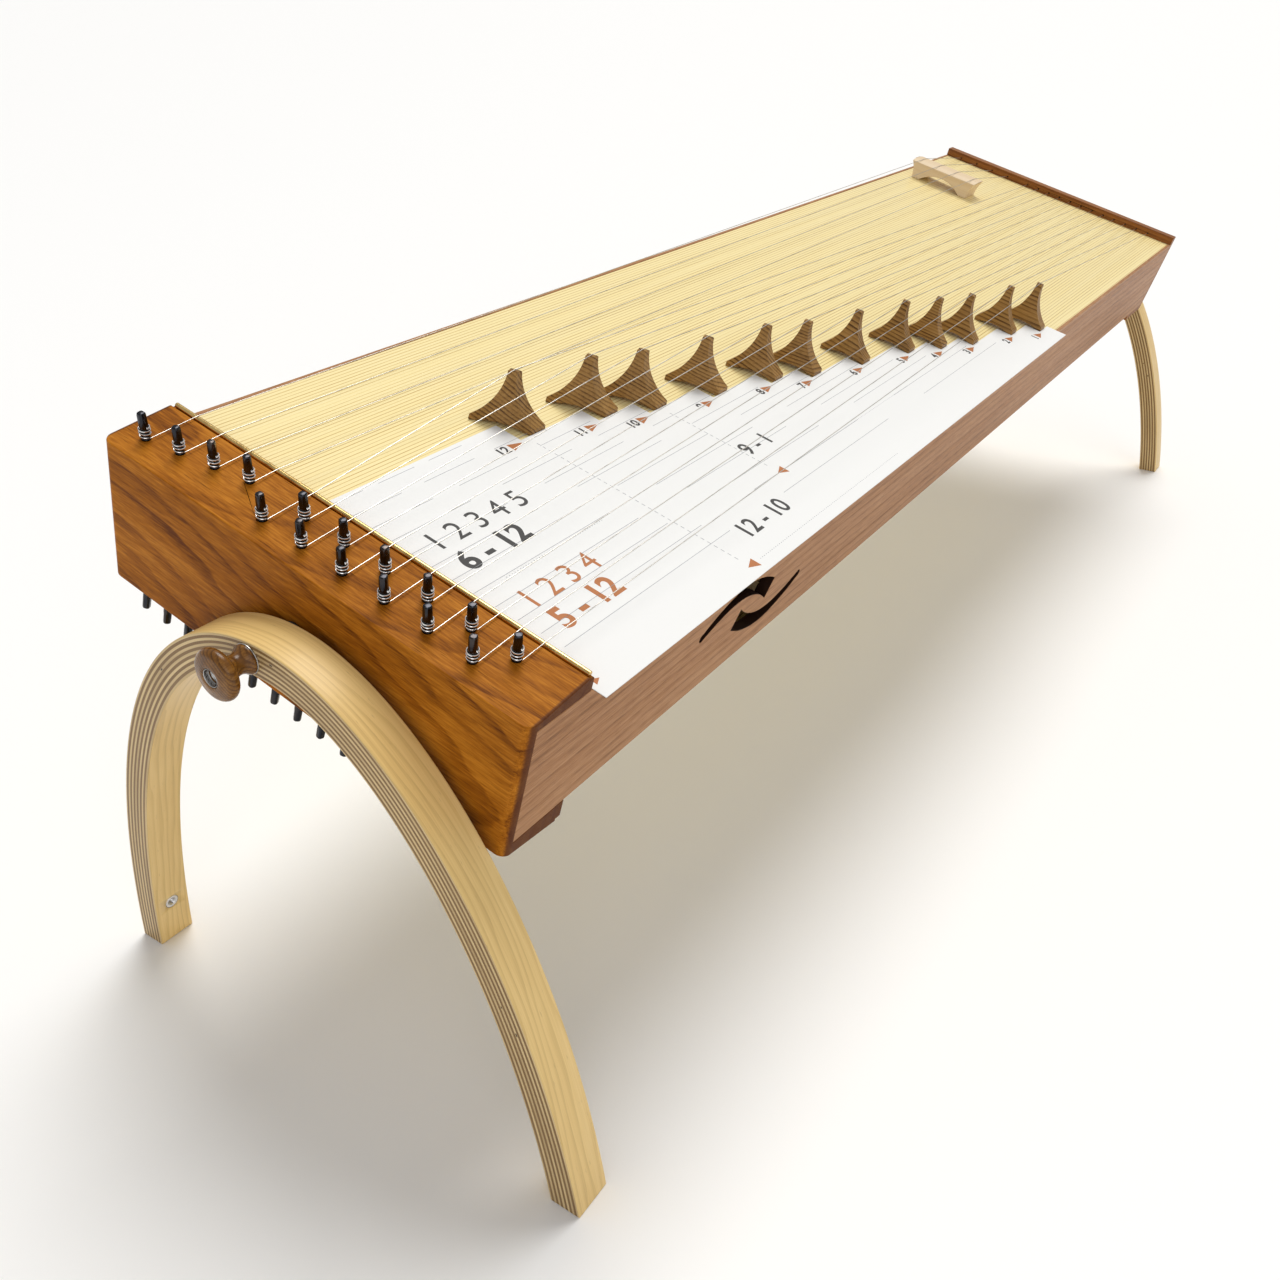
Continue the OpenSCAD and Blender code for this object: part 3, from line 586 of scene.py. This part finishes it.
def pin_sizes(node, place, axis):
    """Radius, length out of the block and length inside it."""
    heights, reach = [], 0
    for v in NODES[node].data.vertices:
        d = v.co - place
        h = d.dot(axis)
        heights.append(h)
        reach = max(reach, (d - axis * h).length)
    return reach, max(heights), -min(heights)


some_pin = "koto_pin_06"
PIN_R, PIN_OUT, PIN_IN = pin_sizes(some_pin, *block_pins[some_pin])
HEAD_FLAT = 0.9
HEAD_LEN = 8.5 * MM
HEAD_TAPER = 0.03


def tuning_pin(maker, place, axis, turn, out):
    """Shank with a fine cut thread near the wood, tapering to a square head with a domed end."""
    body_top = out - HEAD_LEN

    def square(a, h):
        share = min(1, max(0, (h - body_top) / (1.5 * MM)))
        b = (a + turn) % (TAU / 4) - TAU / 8
        flat = min(1, HEAD_FLAT / math.cos(b))
        taper = 1 - HEAD_TAPER * max(0, h - body_top) / HEAD_LEN
        return (1 + share * (flat - 1)) * taper

    profile = [(PIN_R * 0.8, -PIN_IN), (PIN_R, -PIN_IN + 1 * MM), (PIN_R, 0.1 * MM)]
    for k in range(2):
        h = (0.4 + 0.6 * k) * MM
        profile += [(PIN_R, h), (PIN_R * 0.93, h + 0.3 * MM)]
    profile += [(PIN_R, 1.7 * MM), (PIN_R, body_top), (PIN_R, body_top + 0.8 * MM),
                (PIN_R, body_top + 1.6 * MM), (PIN_R * 0.98, out - 1.6 * MM),
                (PIN_R * 0.9, out - 0.7 * MM), (PIN_R * 0.68, out - 0.15 * MM), (PIN_R * 0.3, out)]
    maker.lathe(profile, place, axis, 24, shape=square)


CAD_STRING_R = 0.3 * MM
STRING_R = 0.27 * MM
COIL_R = 0.4 * MM
COIL_TURNS = 3


def coil(maker, place, axis, low, pitch, leave):
    """Turns of wire on a pin, starting in its cross hole and ending where the string leaves."""
    side = (ALONG - axis * axis.x).normalized()
    other = axis.cross(side)
    around = PIN_R + COIL_R + 0.03 * MM
    path = []
    steps = COIL_TURNS * 20
    for k in range(steps + 1):
        a = leave + TAU * (k - steps) / 20
        h = low + pitch * COIL_TURNS * (1 - k / steps)
        path.append(place + axis * h + (side * math.cos(a) + other * math.sin(a)) * around)
    first = path[0] - place
    inward = (first - axis * first.dot(axis)).normalized()
    path.insert(0, path[0] + axis * (0.5 * MM) - inward * (1.2 * MM))
    maker.tube(path, COIL_R, 7)


for number, (body, (place, axis)) in enumerate(sorted(block_pins.items())):
    maker = Maker()
    tuning_pin(maker, place, axis, 0.37 * number, PIN_OUT)
    maker.build(body + "_round", ["blued_steel"], body, stands_for=[body], angle=25)


def bands(node, count):
    """Middles of a node's equal, evenly spaced round solids, counted across the box."""
    low, high = span(node)
    wide = 2 * PIN_R
    pitch = (high.y - low.y - wide) / (count - 1)
    return [low.y + wide / 2 + pitch * k for k in range(count)]


# Underside pins stand on a mirrored slope.
UNDER_COUNT = 30
under_middles = bands("underside_pins", UNDER_COUNT)
top_axis = block_pins[some_pin][1]
under_axis = ALONG * top_axis.dot(ALONG) - OUT * top_axis.dot(OUT)
rows = {}
for body, (place, axis) in block_pins.items():
    if body.startswith("koto_pin_"):
        rows[int(body[-2:]) % 2] = to_box(place)
wall_low, wall_high = span("near_side_wall")
mid_z = (wall_low.z + wall_high.z) / 2
maker, coils = Maker(), Maker()
bottom_nut_low = span("bottom_nut")[0]
UNDER_DROP = 2 * mid_z - span("top_nut")[1].z - bottom_nut_low.z
under_places = []
for k, y in enumerate(under_middles):
    base = rows[(k + 1) % 2]
    under_places.append(from_box(base.x, y, 2 * mid_z - base.z - UNDER_DROP))
UNDER_OUT = 0
for v in NODES["underside_pins"].data.vertices:
    for place in under_places:
        d = v.co - place
        h = d.dot(under_axis)
        if (d - under_axis * h).length < 1.2 * PIN_R:
            UNDER_OUT = max(UNDER_OUT, h)
for k, place in enumerate(under_places):
    tuning_pin(maker, place, under_axis, 0.53 * k, UNDER_OUT)
maker.build("underside_pins_round", ["blued_steel"], "sound_box", stands_for=["underside_pins"], angle=25)

# ---- Strings ----

COIL_LOW = 1.9 * MM
COIL_PITCH = 2.0 * MM
LEAVE_H = COIL_LOW
nut_low, nut_high = span("top_nut")
nut = Vector(((nut_low.x + nut_high.x) / 2, 0, nut_high.z))
board_high = span("top_soundboard")[1]
strings_low, strings_high = span("koto_strings")
hitch_z = strings_low.z + CAD_STRING_R
string_end_x = strings_high.x
ledge_x = board_high.x


def leave_point(place, axis, y):
    p = to_box(place + axis * LEAVE_H)
    return from_box(p.x, y, p.z)


def wound(body, place, axis):
    m = Maker()
    coil(m, place, axis, COIL_LOW, COIL_PITCH, -TAU / 4)
    m.build(body + "_coil", ["coil_steel"], body)


def string_part(name, points, body=None):
    m = Maker()
    m.tube(points, STRING_R, 8)
    return m.build(name, ["string_steel"], body)


top_ends = Maker()
for number in range(1, 13):
    bridge = f"koto_bridge_{number:02d}"
    pin = f"koto_pin_{number:02d}"
    place, axis = block_pins[pin]
    low, high = span(bridge)
    x, y = (low.x + high.x) / 2, (low.y + high.y) / 2
    over_nut = from_box(nut.x, y, nut.z + STRING_R)
    apex = from_box(x, y, high.z - 0.2 * MM + STRING_R)
    tail = from_box(ledge_x, y, hitch_z)
    top_ends.tube([leave_point(place, axis, y), over_nut], STRING_R)
    top_ends.tube([tail, from_box(string_end_x, y, hitch_z)], STRING_R)
    part = string_part(f"koto_string_{number:02d}", [over_nut, apex, tail])
    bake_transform(part)
    wound(pin, place, axis)

flat_low, flat_high = span("tambura_bridge")
flat_x = (flat_low.x + flat_high.x) / 2
crown = (flat_high.x - flat_low.x) / 3
for number in range(1, 5):
    pin = f"tambura_pin_{number}"
    place, axis = block_pins[pin]
    drone_low, drone_high = span("tambura_strings")
    y = drone_low.y + CAD_STRING_R + (drone_high.y - drone_low.y - 2 * CAD_STRING_R) * (number - 1) / 3
    over_nut = from_box(nut.x, y, nut.z + STRING_R)
    apex = from_box(flat_x, y, flat_high.z + STRING_R + 0.2 * MM)
    past = from_box(flat_x + crown, y, flat_high.z - 0.5 * MM + STRING_R)
    tail = from_box(ledge_x, y, hitch_z)
    top_ends.tube([leave_point(place, axis, y), over_nut], STRING_R)
    top_ends.tube([tail, from_box(string_end_x, y, hitch_z)], STRING_R)
    front = string_part(f"tambura_string_{number}_front", [over_nut, apex])
    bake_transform(front)
    top = string_part(f"tambura_string_{number}_top", [apex, past], "tambura_bridge")
    back = string_part(f"tambura_string_{number}_back", [past, tail])
    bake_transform(back)
    wound(pin, place, axis)
top_ends.build("string_ends", ["string_steel"], "sound_box", stands_for=["koto_strings", "tambura_strings"])

under_low, under_high = span("underside_strings")
under_board_high = span("bottom_soundboard")[1]
under_strings = Maker()
under_wide = under_high.y - under_low.y - 2 * CAD_STRING_R
under_pitch = under_wide / (UNDER_COUNT - 1)
under_ys = [under_low.y + CAD_STRING_R + under_pitch * k for k in range(UNDER_COUNT)]
under_hitch_z = under_high.z - CAD_STRING_R
for place, y in zip(under_places, under_ys):
    p = to_box(place + under_axis * LEAVE_H)
    under_strings.tube([from_box(p.x, y, p.z), from_box(nut.x, y, bottom_nut_low.z - STRING_R),
                        from_box(under_board_high.x, y, under_hitch_z),
                        from_box(under_high.x, y, under_hitch_z)], STRING_R)
    coil(coils, place, under_axis, COIL_LOW, COIL_PITCH, TAU / 4)
under_strings.build("underside_strings_round", ["string_steel"], "sound_box",
                    stands_for=["underside_strings"])
coils.build("underside_coils", ["coil_steel"], "sound_box", stands_for=["string_coils"])

# ---- Bent plywood stands ----


def arch_shape(node):
    """Half axes and centre height of the arch's ellipse, found from its outer vertices."""
    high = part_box(node)[1]
    points = [v.co for v in NODES[node].data.vertices]
    top, half = high.z, high.y
    best = None
    for k in range(400):
        below = 0.02 + 0.0005 * k
        b = top + below
        a = half / math.sqrt(1 - (below / b) ** 2)
        miss = 0
        for p in points:
            value = (p.y / a) ** 2 + ((p.z + below) / b) ** 2
            if value > 1:
                miss += (value - 1) ** 2
            elif value > 0.985:
                miss += (1 - value) ** 2
        if best is None or miss < best[0]:
            best = (miss, a, b, below)
    return best[1:]


ARCH_STEPS = 220


def arch(end):
    node = end + "_end_arch"
    low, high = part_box(node)
    a_out, b_out, below = arch_shape(node)
    first = math.asin(below / b_out)
    thick = PLY_T

    def at(angle, inset):
        p = Vector((0, a_out * math.cos(angle), b_out * math.sin(angle) - below))
        n = Vector((0, math.cos(angle) / a_out, math.sin(angle) / b_out)).normalized()
        return p - n * inset

    def at_floor(inset):
        lo, hi = first - 0.1, first + 0.2
        for _ in range(50):
            mid = (lo + hi) / 2
            if at(mid, inset).z < 0:
                lo = mid
            else:
                hi = mid
        return lo
    outer_first, inner_first = first, at_floor(thick)
    maker = Maker()
    points, uvs_at = [], []
    arc = 0
    layers = 4
    for k in range(ARCH_STEPS + 1):
        t = k / ARCH_STEPS
        row = []
        for m in range(layers + 1):
            start = outer_first + (inner_first - outer_first) * m / layers
            if 0 < m < layers:
                start = at_floor(thick * m / layers)
            angle = start + (math.pi - 2 * start) * t
            row.append(at(angle, thick * m / layers))
        if k:
            arc += (row[0] - before).length
        before = row[0].copy()
        points.append(row)
        uvs_at.append(arc)
    verts, faces, marks, uvs = [], [], [], []
    index = {}
    for k in range(ARCH_STEPS + 1):
        for m in range(layers + 1):
            for s, x in enumerate((low.x, high.x)):
                index[k, m, s] = len(verts)
                verts.append(Vector((x, points[k][m].y, points[k][m].z)))
    wide = high.x - low.x
    for k in range(ARCH_STEPS):
        for m in range(layers):
            d0, d1 = m / layers, (m + 1) / layers
            u0, u1 = uvs_at[k], uvs_at[k + 1]
            faces.append([index[k, m, 0], index[k + 1, m, 0], index[k + 1, m + 1, 0], index[k, m + 1, 0]])
            uvs.append([(u0, d0), (u1, d0), (u1, d1), (u0, d1)])
            faces.append([index[k, m, 1], index[k, m + 1, 1], index[k + 1, m + 1, 1], index[k + 1, m, 1]])
            uvs.append([(u0 + 3, d0), (u0 + 3, d1), (u1 + 3, d1), (u1 + 3, d0)])
            marks += [0, 0]
        for m, flip in ((0, False), (layers, True)):
            quad = [index[k, m, 0], index[k, m, 1], index[k + 1, m, 1], index[k + 1, m, 0]]
            quad_uv = [(u0, 0), (u0, wide), (u1, wide), (u1, 0)]
            shift = 5 if flip else 1
            quad_uv = [(u + shift, w + 0.05 * shift) for u, w in quad_uv]
            if flip:
                quad.reverse()
                quad_uv.reverse()
            faces.append(quad)
            uvs.append(quad_uv)
            marks.append(1)
    for k, flip in ((0, False), (ARCH_STEPS, True)):
        for m in range(layers):
            quad = [index[k, m, 0], index[k, m + 1, 0], index[k, m + 1, 1], index[k, m, 1]]
            d0, d1 = m / layers, (m + 1) / layers
            quad_uv = [(7, d0), (7, d1), (7 + wide, d1), (7 + wide, d0)]
            if flip:
                quad.reverse()
                quad_uv.reverse()
            faces.append(quad)
            uvs.append(quad_uv)
            marks.append(0)
    maker.add(verts, faces, marks, uvs)
    obj = maker.build(end + "_end_stand_bow", ["ply_edge", "ply_face"], None, "ply", bevel=0.9 * MM,
                      angle=50)
    # Holes for the two foot inserts and for the stud
    cutter = Maker()
    for name in ("near", "far"):
        mount = MOUNTS[f"{end}_end_{name}_foot_insert"]
        deep = -Vector(mount["axis"])
        place = Vector(mount["pos_m"])
        cutter.lathe([(INSERT_R, -9 * MM), (INSERT_R, 7 * MM)], place, deep, 40)
    cutter.lathe([(STUD_HOLE_R, low.x - 5 * MM), (STUD_HOLE_R, high.x + 5 * MM)],
                 Vector((0, PIVOT.y, PIVOT.z)), ALONG, 40)
    tool = cutter.build("cutter_" + end, ["ply_edge"], None)
    cut = obj.modifiers.new("holes", "BOOLEAN")
    cut.object = tool
    cut.operation = "DIFFERENCE"
    cut.solver = "EXACT"
    bpy.context.view_layer.update()
    bpy.context.view_layer.objects.active = obj
    for modifier in [m.name for m in obj.modifiers]:
        with bpy.context.temp_override(object=obj, active_object=obj):
            bpy.ops.object.modifier_apply(modifier=modifier)
    bpy.data.objects.remove(tool)
    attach(obj, end + "_end_stand")
    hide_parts(node)
    return obj


MOUNTS = {m["name"]: m for m in frame["record"]["mounts"]}
INSERT_R = 5 * MM
INSERT_BORE = 2.5 * MM
STUD_HOLE_R = 4.25 * MM
for end in ("pin", "tail"):
    arch(end)
    maker = Maker()
    for name in ("near", "far"):
        mount = MOUNTS[f"{end}_end_{name}_foot_insert"]
        deep = -Vector(mount["axis"])
        place = Vector(mount["pos_m"])
        half = mount["dims"]["length_mm"] * MM / 2
        mouth = -half
        profile = [(INSERT_R - 0.4 * MM, mouth), (INSERT_R - 0.05 * MM, mouth + 0.4 * MM),
                   (INSERT_R - 0.05 * MM, half - 0.3 * MM),
                   (INSERT_R - 0.4 * MM, half), (INSERT_BORE + 0.2 * MM, half)]
        turns = 14
        for k in range(turns):
            h = half - 0.4 * MM - (2 * half - 1.2 * MM) * k / (turns - 1)
            profile += [(INSERT_BORE, h), (INSERT_BORE + 0.3 * MM, h - 0.35 * MM)]
        profile += [(INSERT_BORE + 0.5 * MM, mouth + 0.1 * MM), (INSERT_BORE + 0.9 * MM, mouth)]
        maker.lathe(profile, place, deep, 40, closed=True)
    maker.build(end + "_end_foot_inserts_turned", ["steel"], end + "_end_stand",
                stands_for=[end + "_end_foot_inserts"], angle=25)

# ---- Turned knobs ----


def knob(end):
    node = end + "_end_knob"
    low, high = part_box(node)
    outward = -1 if end == "pin" else 1
    start = high.x if end == "pin" else low.x
    head_r = (high.z - low.z) / 2
    length = high.x - low.x
    foot_r = 8.3 * MM
    edge = 3.8 * MM
    cove = 6.8 * MM
    cove_out = 12.6 * MM
    head_low = length - 0.8 * MM - 2 * edge
    profile = [(4.6 * MM, 0), (foot_r - 0.4 * MM, 0), (foot_r, 0.4 * MM), (foot_r, 1.3 * MM)]
    for k in range(15):
        a = math.radians(-46 + 124 * k / 14)
        profile.append((cove_out - cove * math.cos(a), head_low - cove + cove * math.sin(a)))
    for k in range(13):
        a = math.radians(-62 + 150 * k / 12)
        profile.append((head_r - edge + edge * math.cos(a), head_low + edge + edge * math.sin(a)))
    profile += [(head_r - edge - 1.5 * MM, length - 0.45 * MM), (7.4 * MM, length - 0.1 * MM),
                (6.2 * MM, length), (5.5 * MM, length - 0.2 * MM), (5.25 * MM, length - 0.7 * MM),
                (5.25 * MM, length - 3.4 * MM), (4.6 * MM, length - 3.4 * MM)]
    maker = Maker()
    place = Vector((start, PIVOT.y, PIVOT.z))
    maker.lathe(profile, place, ALONG * outward, 72, closed=True)
    maker.build(end + "_end_knob_turned", ["knob_wood"], end + "_end_clamp", stands_for=[node], angle=40)
    rim = Maker()
    rim.lathe([(5.2 * MM, length - 3.3 * MM), (5.2 * MM, length - 0.5 * MM),
               (5.0 * MM, length - 0.25 * MM), (4.75 * MM, length - 0.4 * MM),
               (4.6 * MM, length - 0.9 * MM), (4.6 * MM, length - 3.3 * MM)],
              place, ALONG * outward, 56, closed=True)
    rim.build(end + "_end_knob_ferrule", ["steel"], end + "_end_clamp", "steel", angle=40)


for end in ("pin", "tail"):
    knob(end)

# ---- Printing on the template ----

sheet_low, sheet_high = span("tone_template")
PRINT = (sheet_high.z - 0.02 * MM, sheet_high.z + 0.04 * MM)
grey, orange = Maker(), Maker()


def stroke(maker, a, b, width):
    along = Vector((b[0] - a[0], b[1] - a[1]))
    across = Vector((-along.y, along.x)).normalized() * width / 2
    maker.slab([(a[0] - across.x, a[1] - across.y), (b[0] - across.x, b[1] - across.y),
                (b[0] + across.x, b[1] + across.y), (a[0] + across.x, a[1] + across.y)], PRINT)


def triangle(maker, tip, long, wide, towards=1):
    """Filled arrowhead whose tip points along the strings, or back towards the pins."""
    x, y = tip
    maker.slab([(x - towards * long, y - wide / 2), (x, y), (x - towards * long, y + wide / 2)], PRINT)


def dashes(maker, a, b, width, on, off):
    """Broken line along or across the strings."""
    whole = math.dist(a, b)
    step = on + off
    for k in range(int(whole / step)):
        s0, s1 = k * step / whole, (k * step + on) / whole
        stroke(maker, (a[0] + (b[0] - a[0]) * s0, a[1] + (b[1] - a[1]) * s0),
               (a[0] + (b[0] - a[0]) * s1, a[1] + (b[1] - a[1]) * s1), width)


def printed(name, text, place, size, material, align="LEFT", bold=0.0):
    """Numerals lying on the sheet and reading along the strings."""
    curve = bpy.data.curves.new(name, "FONT")
    curve.body = text
    curve.size = size
    curve.extrude = 0.03 * MM
    curve.offset = bold * size
    curve.align_x = align
    curve.align_y = "CENTER"
    letters = bpy.data.objects.new(name, curve)
    bpy.context.scene.collection.objects.link(letters)
    basis = Matrix((ALONG, ACROSS, OUT)).transposed().to_4x4()
    letters.matrix_world = Matrix.Translation(from_box(*place, PRINT[0] + 0.03 * MM)) @ basis
    bpy.context.view_layer.update()
    mesh = bpy.data.meshes.new_from_object(
        letters.evaluated_get(bpy.context.evaluated_depsgraph_get()))
    mesh.transform(letters.matrix_world)
    bpy.data.objects.remove(letters)
    piece = bpy.data.objects.new(name, mesh)
    bpy.context.scene.collection.objects.link(piece)
    mesh.materials.clear()
    mesh.materials.append(MATERIAL[material])
    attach(piece, "tone_template")


fronts = {}
for number in range(1, 13):
    low, high = span(f"koto_bridge_{number:02d}")
    fronts[number] = ((low.x + high.x) / 2 - 7 * MM, (low.y + high.y) / 2)
near_edge = sheet_low.y
for number, (x, y) in fronts.items():
    end = x - 30 * MM
    # Grey lines 1.5 mm to the near side of each string, broken in three pieces, darker than the paper.
    for start in range(3):
        a = sheet_low.x + (end - sheet_low.x) * (start * 0.34 + 0.02)
        b = sheet_low.x + (end - sheet_low.x) * (start * 0.34 + 0.26)
        stroke(grey, (a, y - 1.5 * MM), (b, y - 1.5 * MM), 0.35 * MM)
    mark = (x - 3 * MM, y - 21 * MM)
    triangle(orange, mark, 11 * MM, 7.5 * MM)
    printed(f"template_number_{number:02d}", str(number), (mark[0] - 13 * MM, mark[1]), 10 * MM,
            "print_dark", "RIGHT", 0.03)
for group, shift, last in ((12, 4, 12), (10, 14, 54)):
    x, y = fronts[group]
    x += shift * MM
    turn_at = near_edge + last * MM
    dashes(grey, (x, y - 27 * MM), (x, turn_at), 0.5 * MM, 2.6 * MM, 2.2 * MM)
    triangle(orange, (x - 2 * MM, turn_at - 3 * MM), 9 * MM, 8 * MM, -1)
    dashes(grey, (x + 12 * MM, turn_at - 3 * MM), (x + 210 * MM, turn_at - 3 * MM), 0.5 * MM,
           0.7 * MM, 1.6 * MM)
dashes(grey, (sheet_low.x + 34 * MM, near_edge + 92 * MM), (sheet_low.x + 122 * MM, near_edge + 92 * MM),
       0.5 * MM, 0.7 * MM, 1.6 * MM)
triangle(orange, (sheet_low.x + 9 * MM, near_edge + 11 * MM), 5 * MM, 5 * MM)
TITLES = (("dark_thin", "1 2 3 4 5", (22, 136), 22, "print_dark", 0),
          ("dark_bold", "6 - 12", (24, 114), 22, "print_dark", 0.03),
          ("orange_thin", "1 2 3 4", (24, 72), 22, "print_orange", 0),
          ("orange_bold", "5 - 12", (26, 51), 22, "print_orange", 0.03),
          ("first_group", "12 - 10", (178, 30), 19, "print_dark", 0.015),
          ("second_group", "9 - 1", (264, 80), 18, "print_dark", 0.015))
for name, text, (x, y), size, material, bold in TITLES:
    printed("template_" + name, text, (sheet_low.x + x * MM, near_edge + y * MM), size * MM, material,
            bold=bold)
grey.build("template_ruling", ["grey_lines_on_sheet"], "tone_template", "paper", smooth=False)
orange.build("template_arrows", ["print_orange"], "tone_template", "paper", smooth=False)

# ---- Floor, light and camera ----


def stage_floor():
    s = Shader("floor")
    fine = s.noise(s.coords(), scale=220, detail=3)
    s.set(Base_Color=s.mix(s.math("MULTIPLY", fine, 0.05), (0.93, 0.93, 0.93), (0.80, 0.80, 0.80)),
          Roughness=0.65)
    mesh = bpy.data.meshes.new("floor")
    size = 30
    corners = [(-size, -size, 0), (size, -size, 0), (size, size, 0), (-size, size, 0)]
    mesh.from_pydata(corners, [], [[0, 1, 2, 3]])
    mesh.materials.append(s.material)
    floor = bpy.data.objects.new("floor", mesh)
    bpy.context.scene.collection.objects.link(floor)


def sun_light(name, towards_light, strength, spread, colour=(1, 1, 1)):
    light = bpy.data.lights.new(name, "SUN")
    light.energy = strength
    light.angle = math.radians(spread)
    light.color = colour
    obj = bpy.data.objects.new(name, light)
    obj.rotation_mode = "QUATERNION"
    obj.rotation_quaternion = (-Vector(towards_light)).to_track_quat("-Z", "Y")
    bpy.context.scene.collection.objects.link(obj)


def pale_world(light, seen):
    """Even studio light; the camera sees it nearly white."""
    world = bpy.data.worlds.new("studio")
    world.use_nodes = True
    tree = world.node_tree
    back = tree.nodes["Background"]
    path = tree.nodes.new("ShaderNodeLightPath")
    level = tree.nodes.new("ShaderNodeMapRange")
    tree.links.new(path.outputs["Is Camera Ray"], level.inputs[0])
    level.inputs[3].default_value = light
    level.inputs[4].default_value = seen
    back.inputs[0].default_value = (1, 1, 1, 1)
    tree.links.new(level.outputs[0], back.inputs[1])
    bpy.context.scene.world = world


stage_floor()
sun_light("key", (0.40, 0.10, 0.90), 2.05, 32, (1, 0.985, 0.95))
sun_light("side", (-0.60, -0.70, 0.40), 0.4, 40)
pale_world(0.46, 0.98)

CAMERA_PLACE = (-0.9319, -0.4383, 0.5911)
CAMERA_TURN = 34.68
CAMERA_DIP = 30.68
CAMERA_ROLL = -0.67
camera_data = bpy.data.cameras.new("camera")
camera_data.lens = 32.53
camera_data.sensor_width = 36
camera_data.clip_start = 0.01
camera_data.clip_end = 100
camera = bpy.data.objects.new("camera", camera_data)
turn, dip, roll = (math.radians(v) for v in (CAMERA_TURN, CAMERA_DIP, CAMERA_ROLL))
forward = Vector((math.cos(turn) * math.cos(dip), math.sin(turn) * math.cos(dip), -math.sin(dip)))
level = forward.cross(Vector((0, 0, 1))).normalized()
upright = level.cross(forward)
right = level * math.cos(roll) + upright * math.sin(roll)
top = right.cross(forward)
camera.matrix_world = (Matrix.Translation(CAMERA_PLACE)
                       @ Matrix((right, top, -forward)).transposed().to_4x4())
bpy.context.scene.collection.objects.link(camera)
bpy.context.scene.camera = camera
bpy.context.scene.view_settings.view_transform = "Standard"
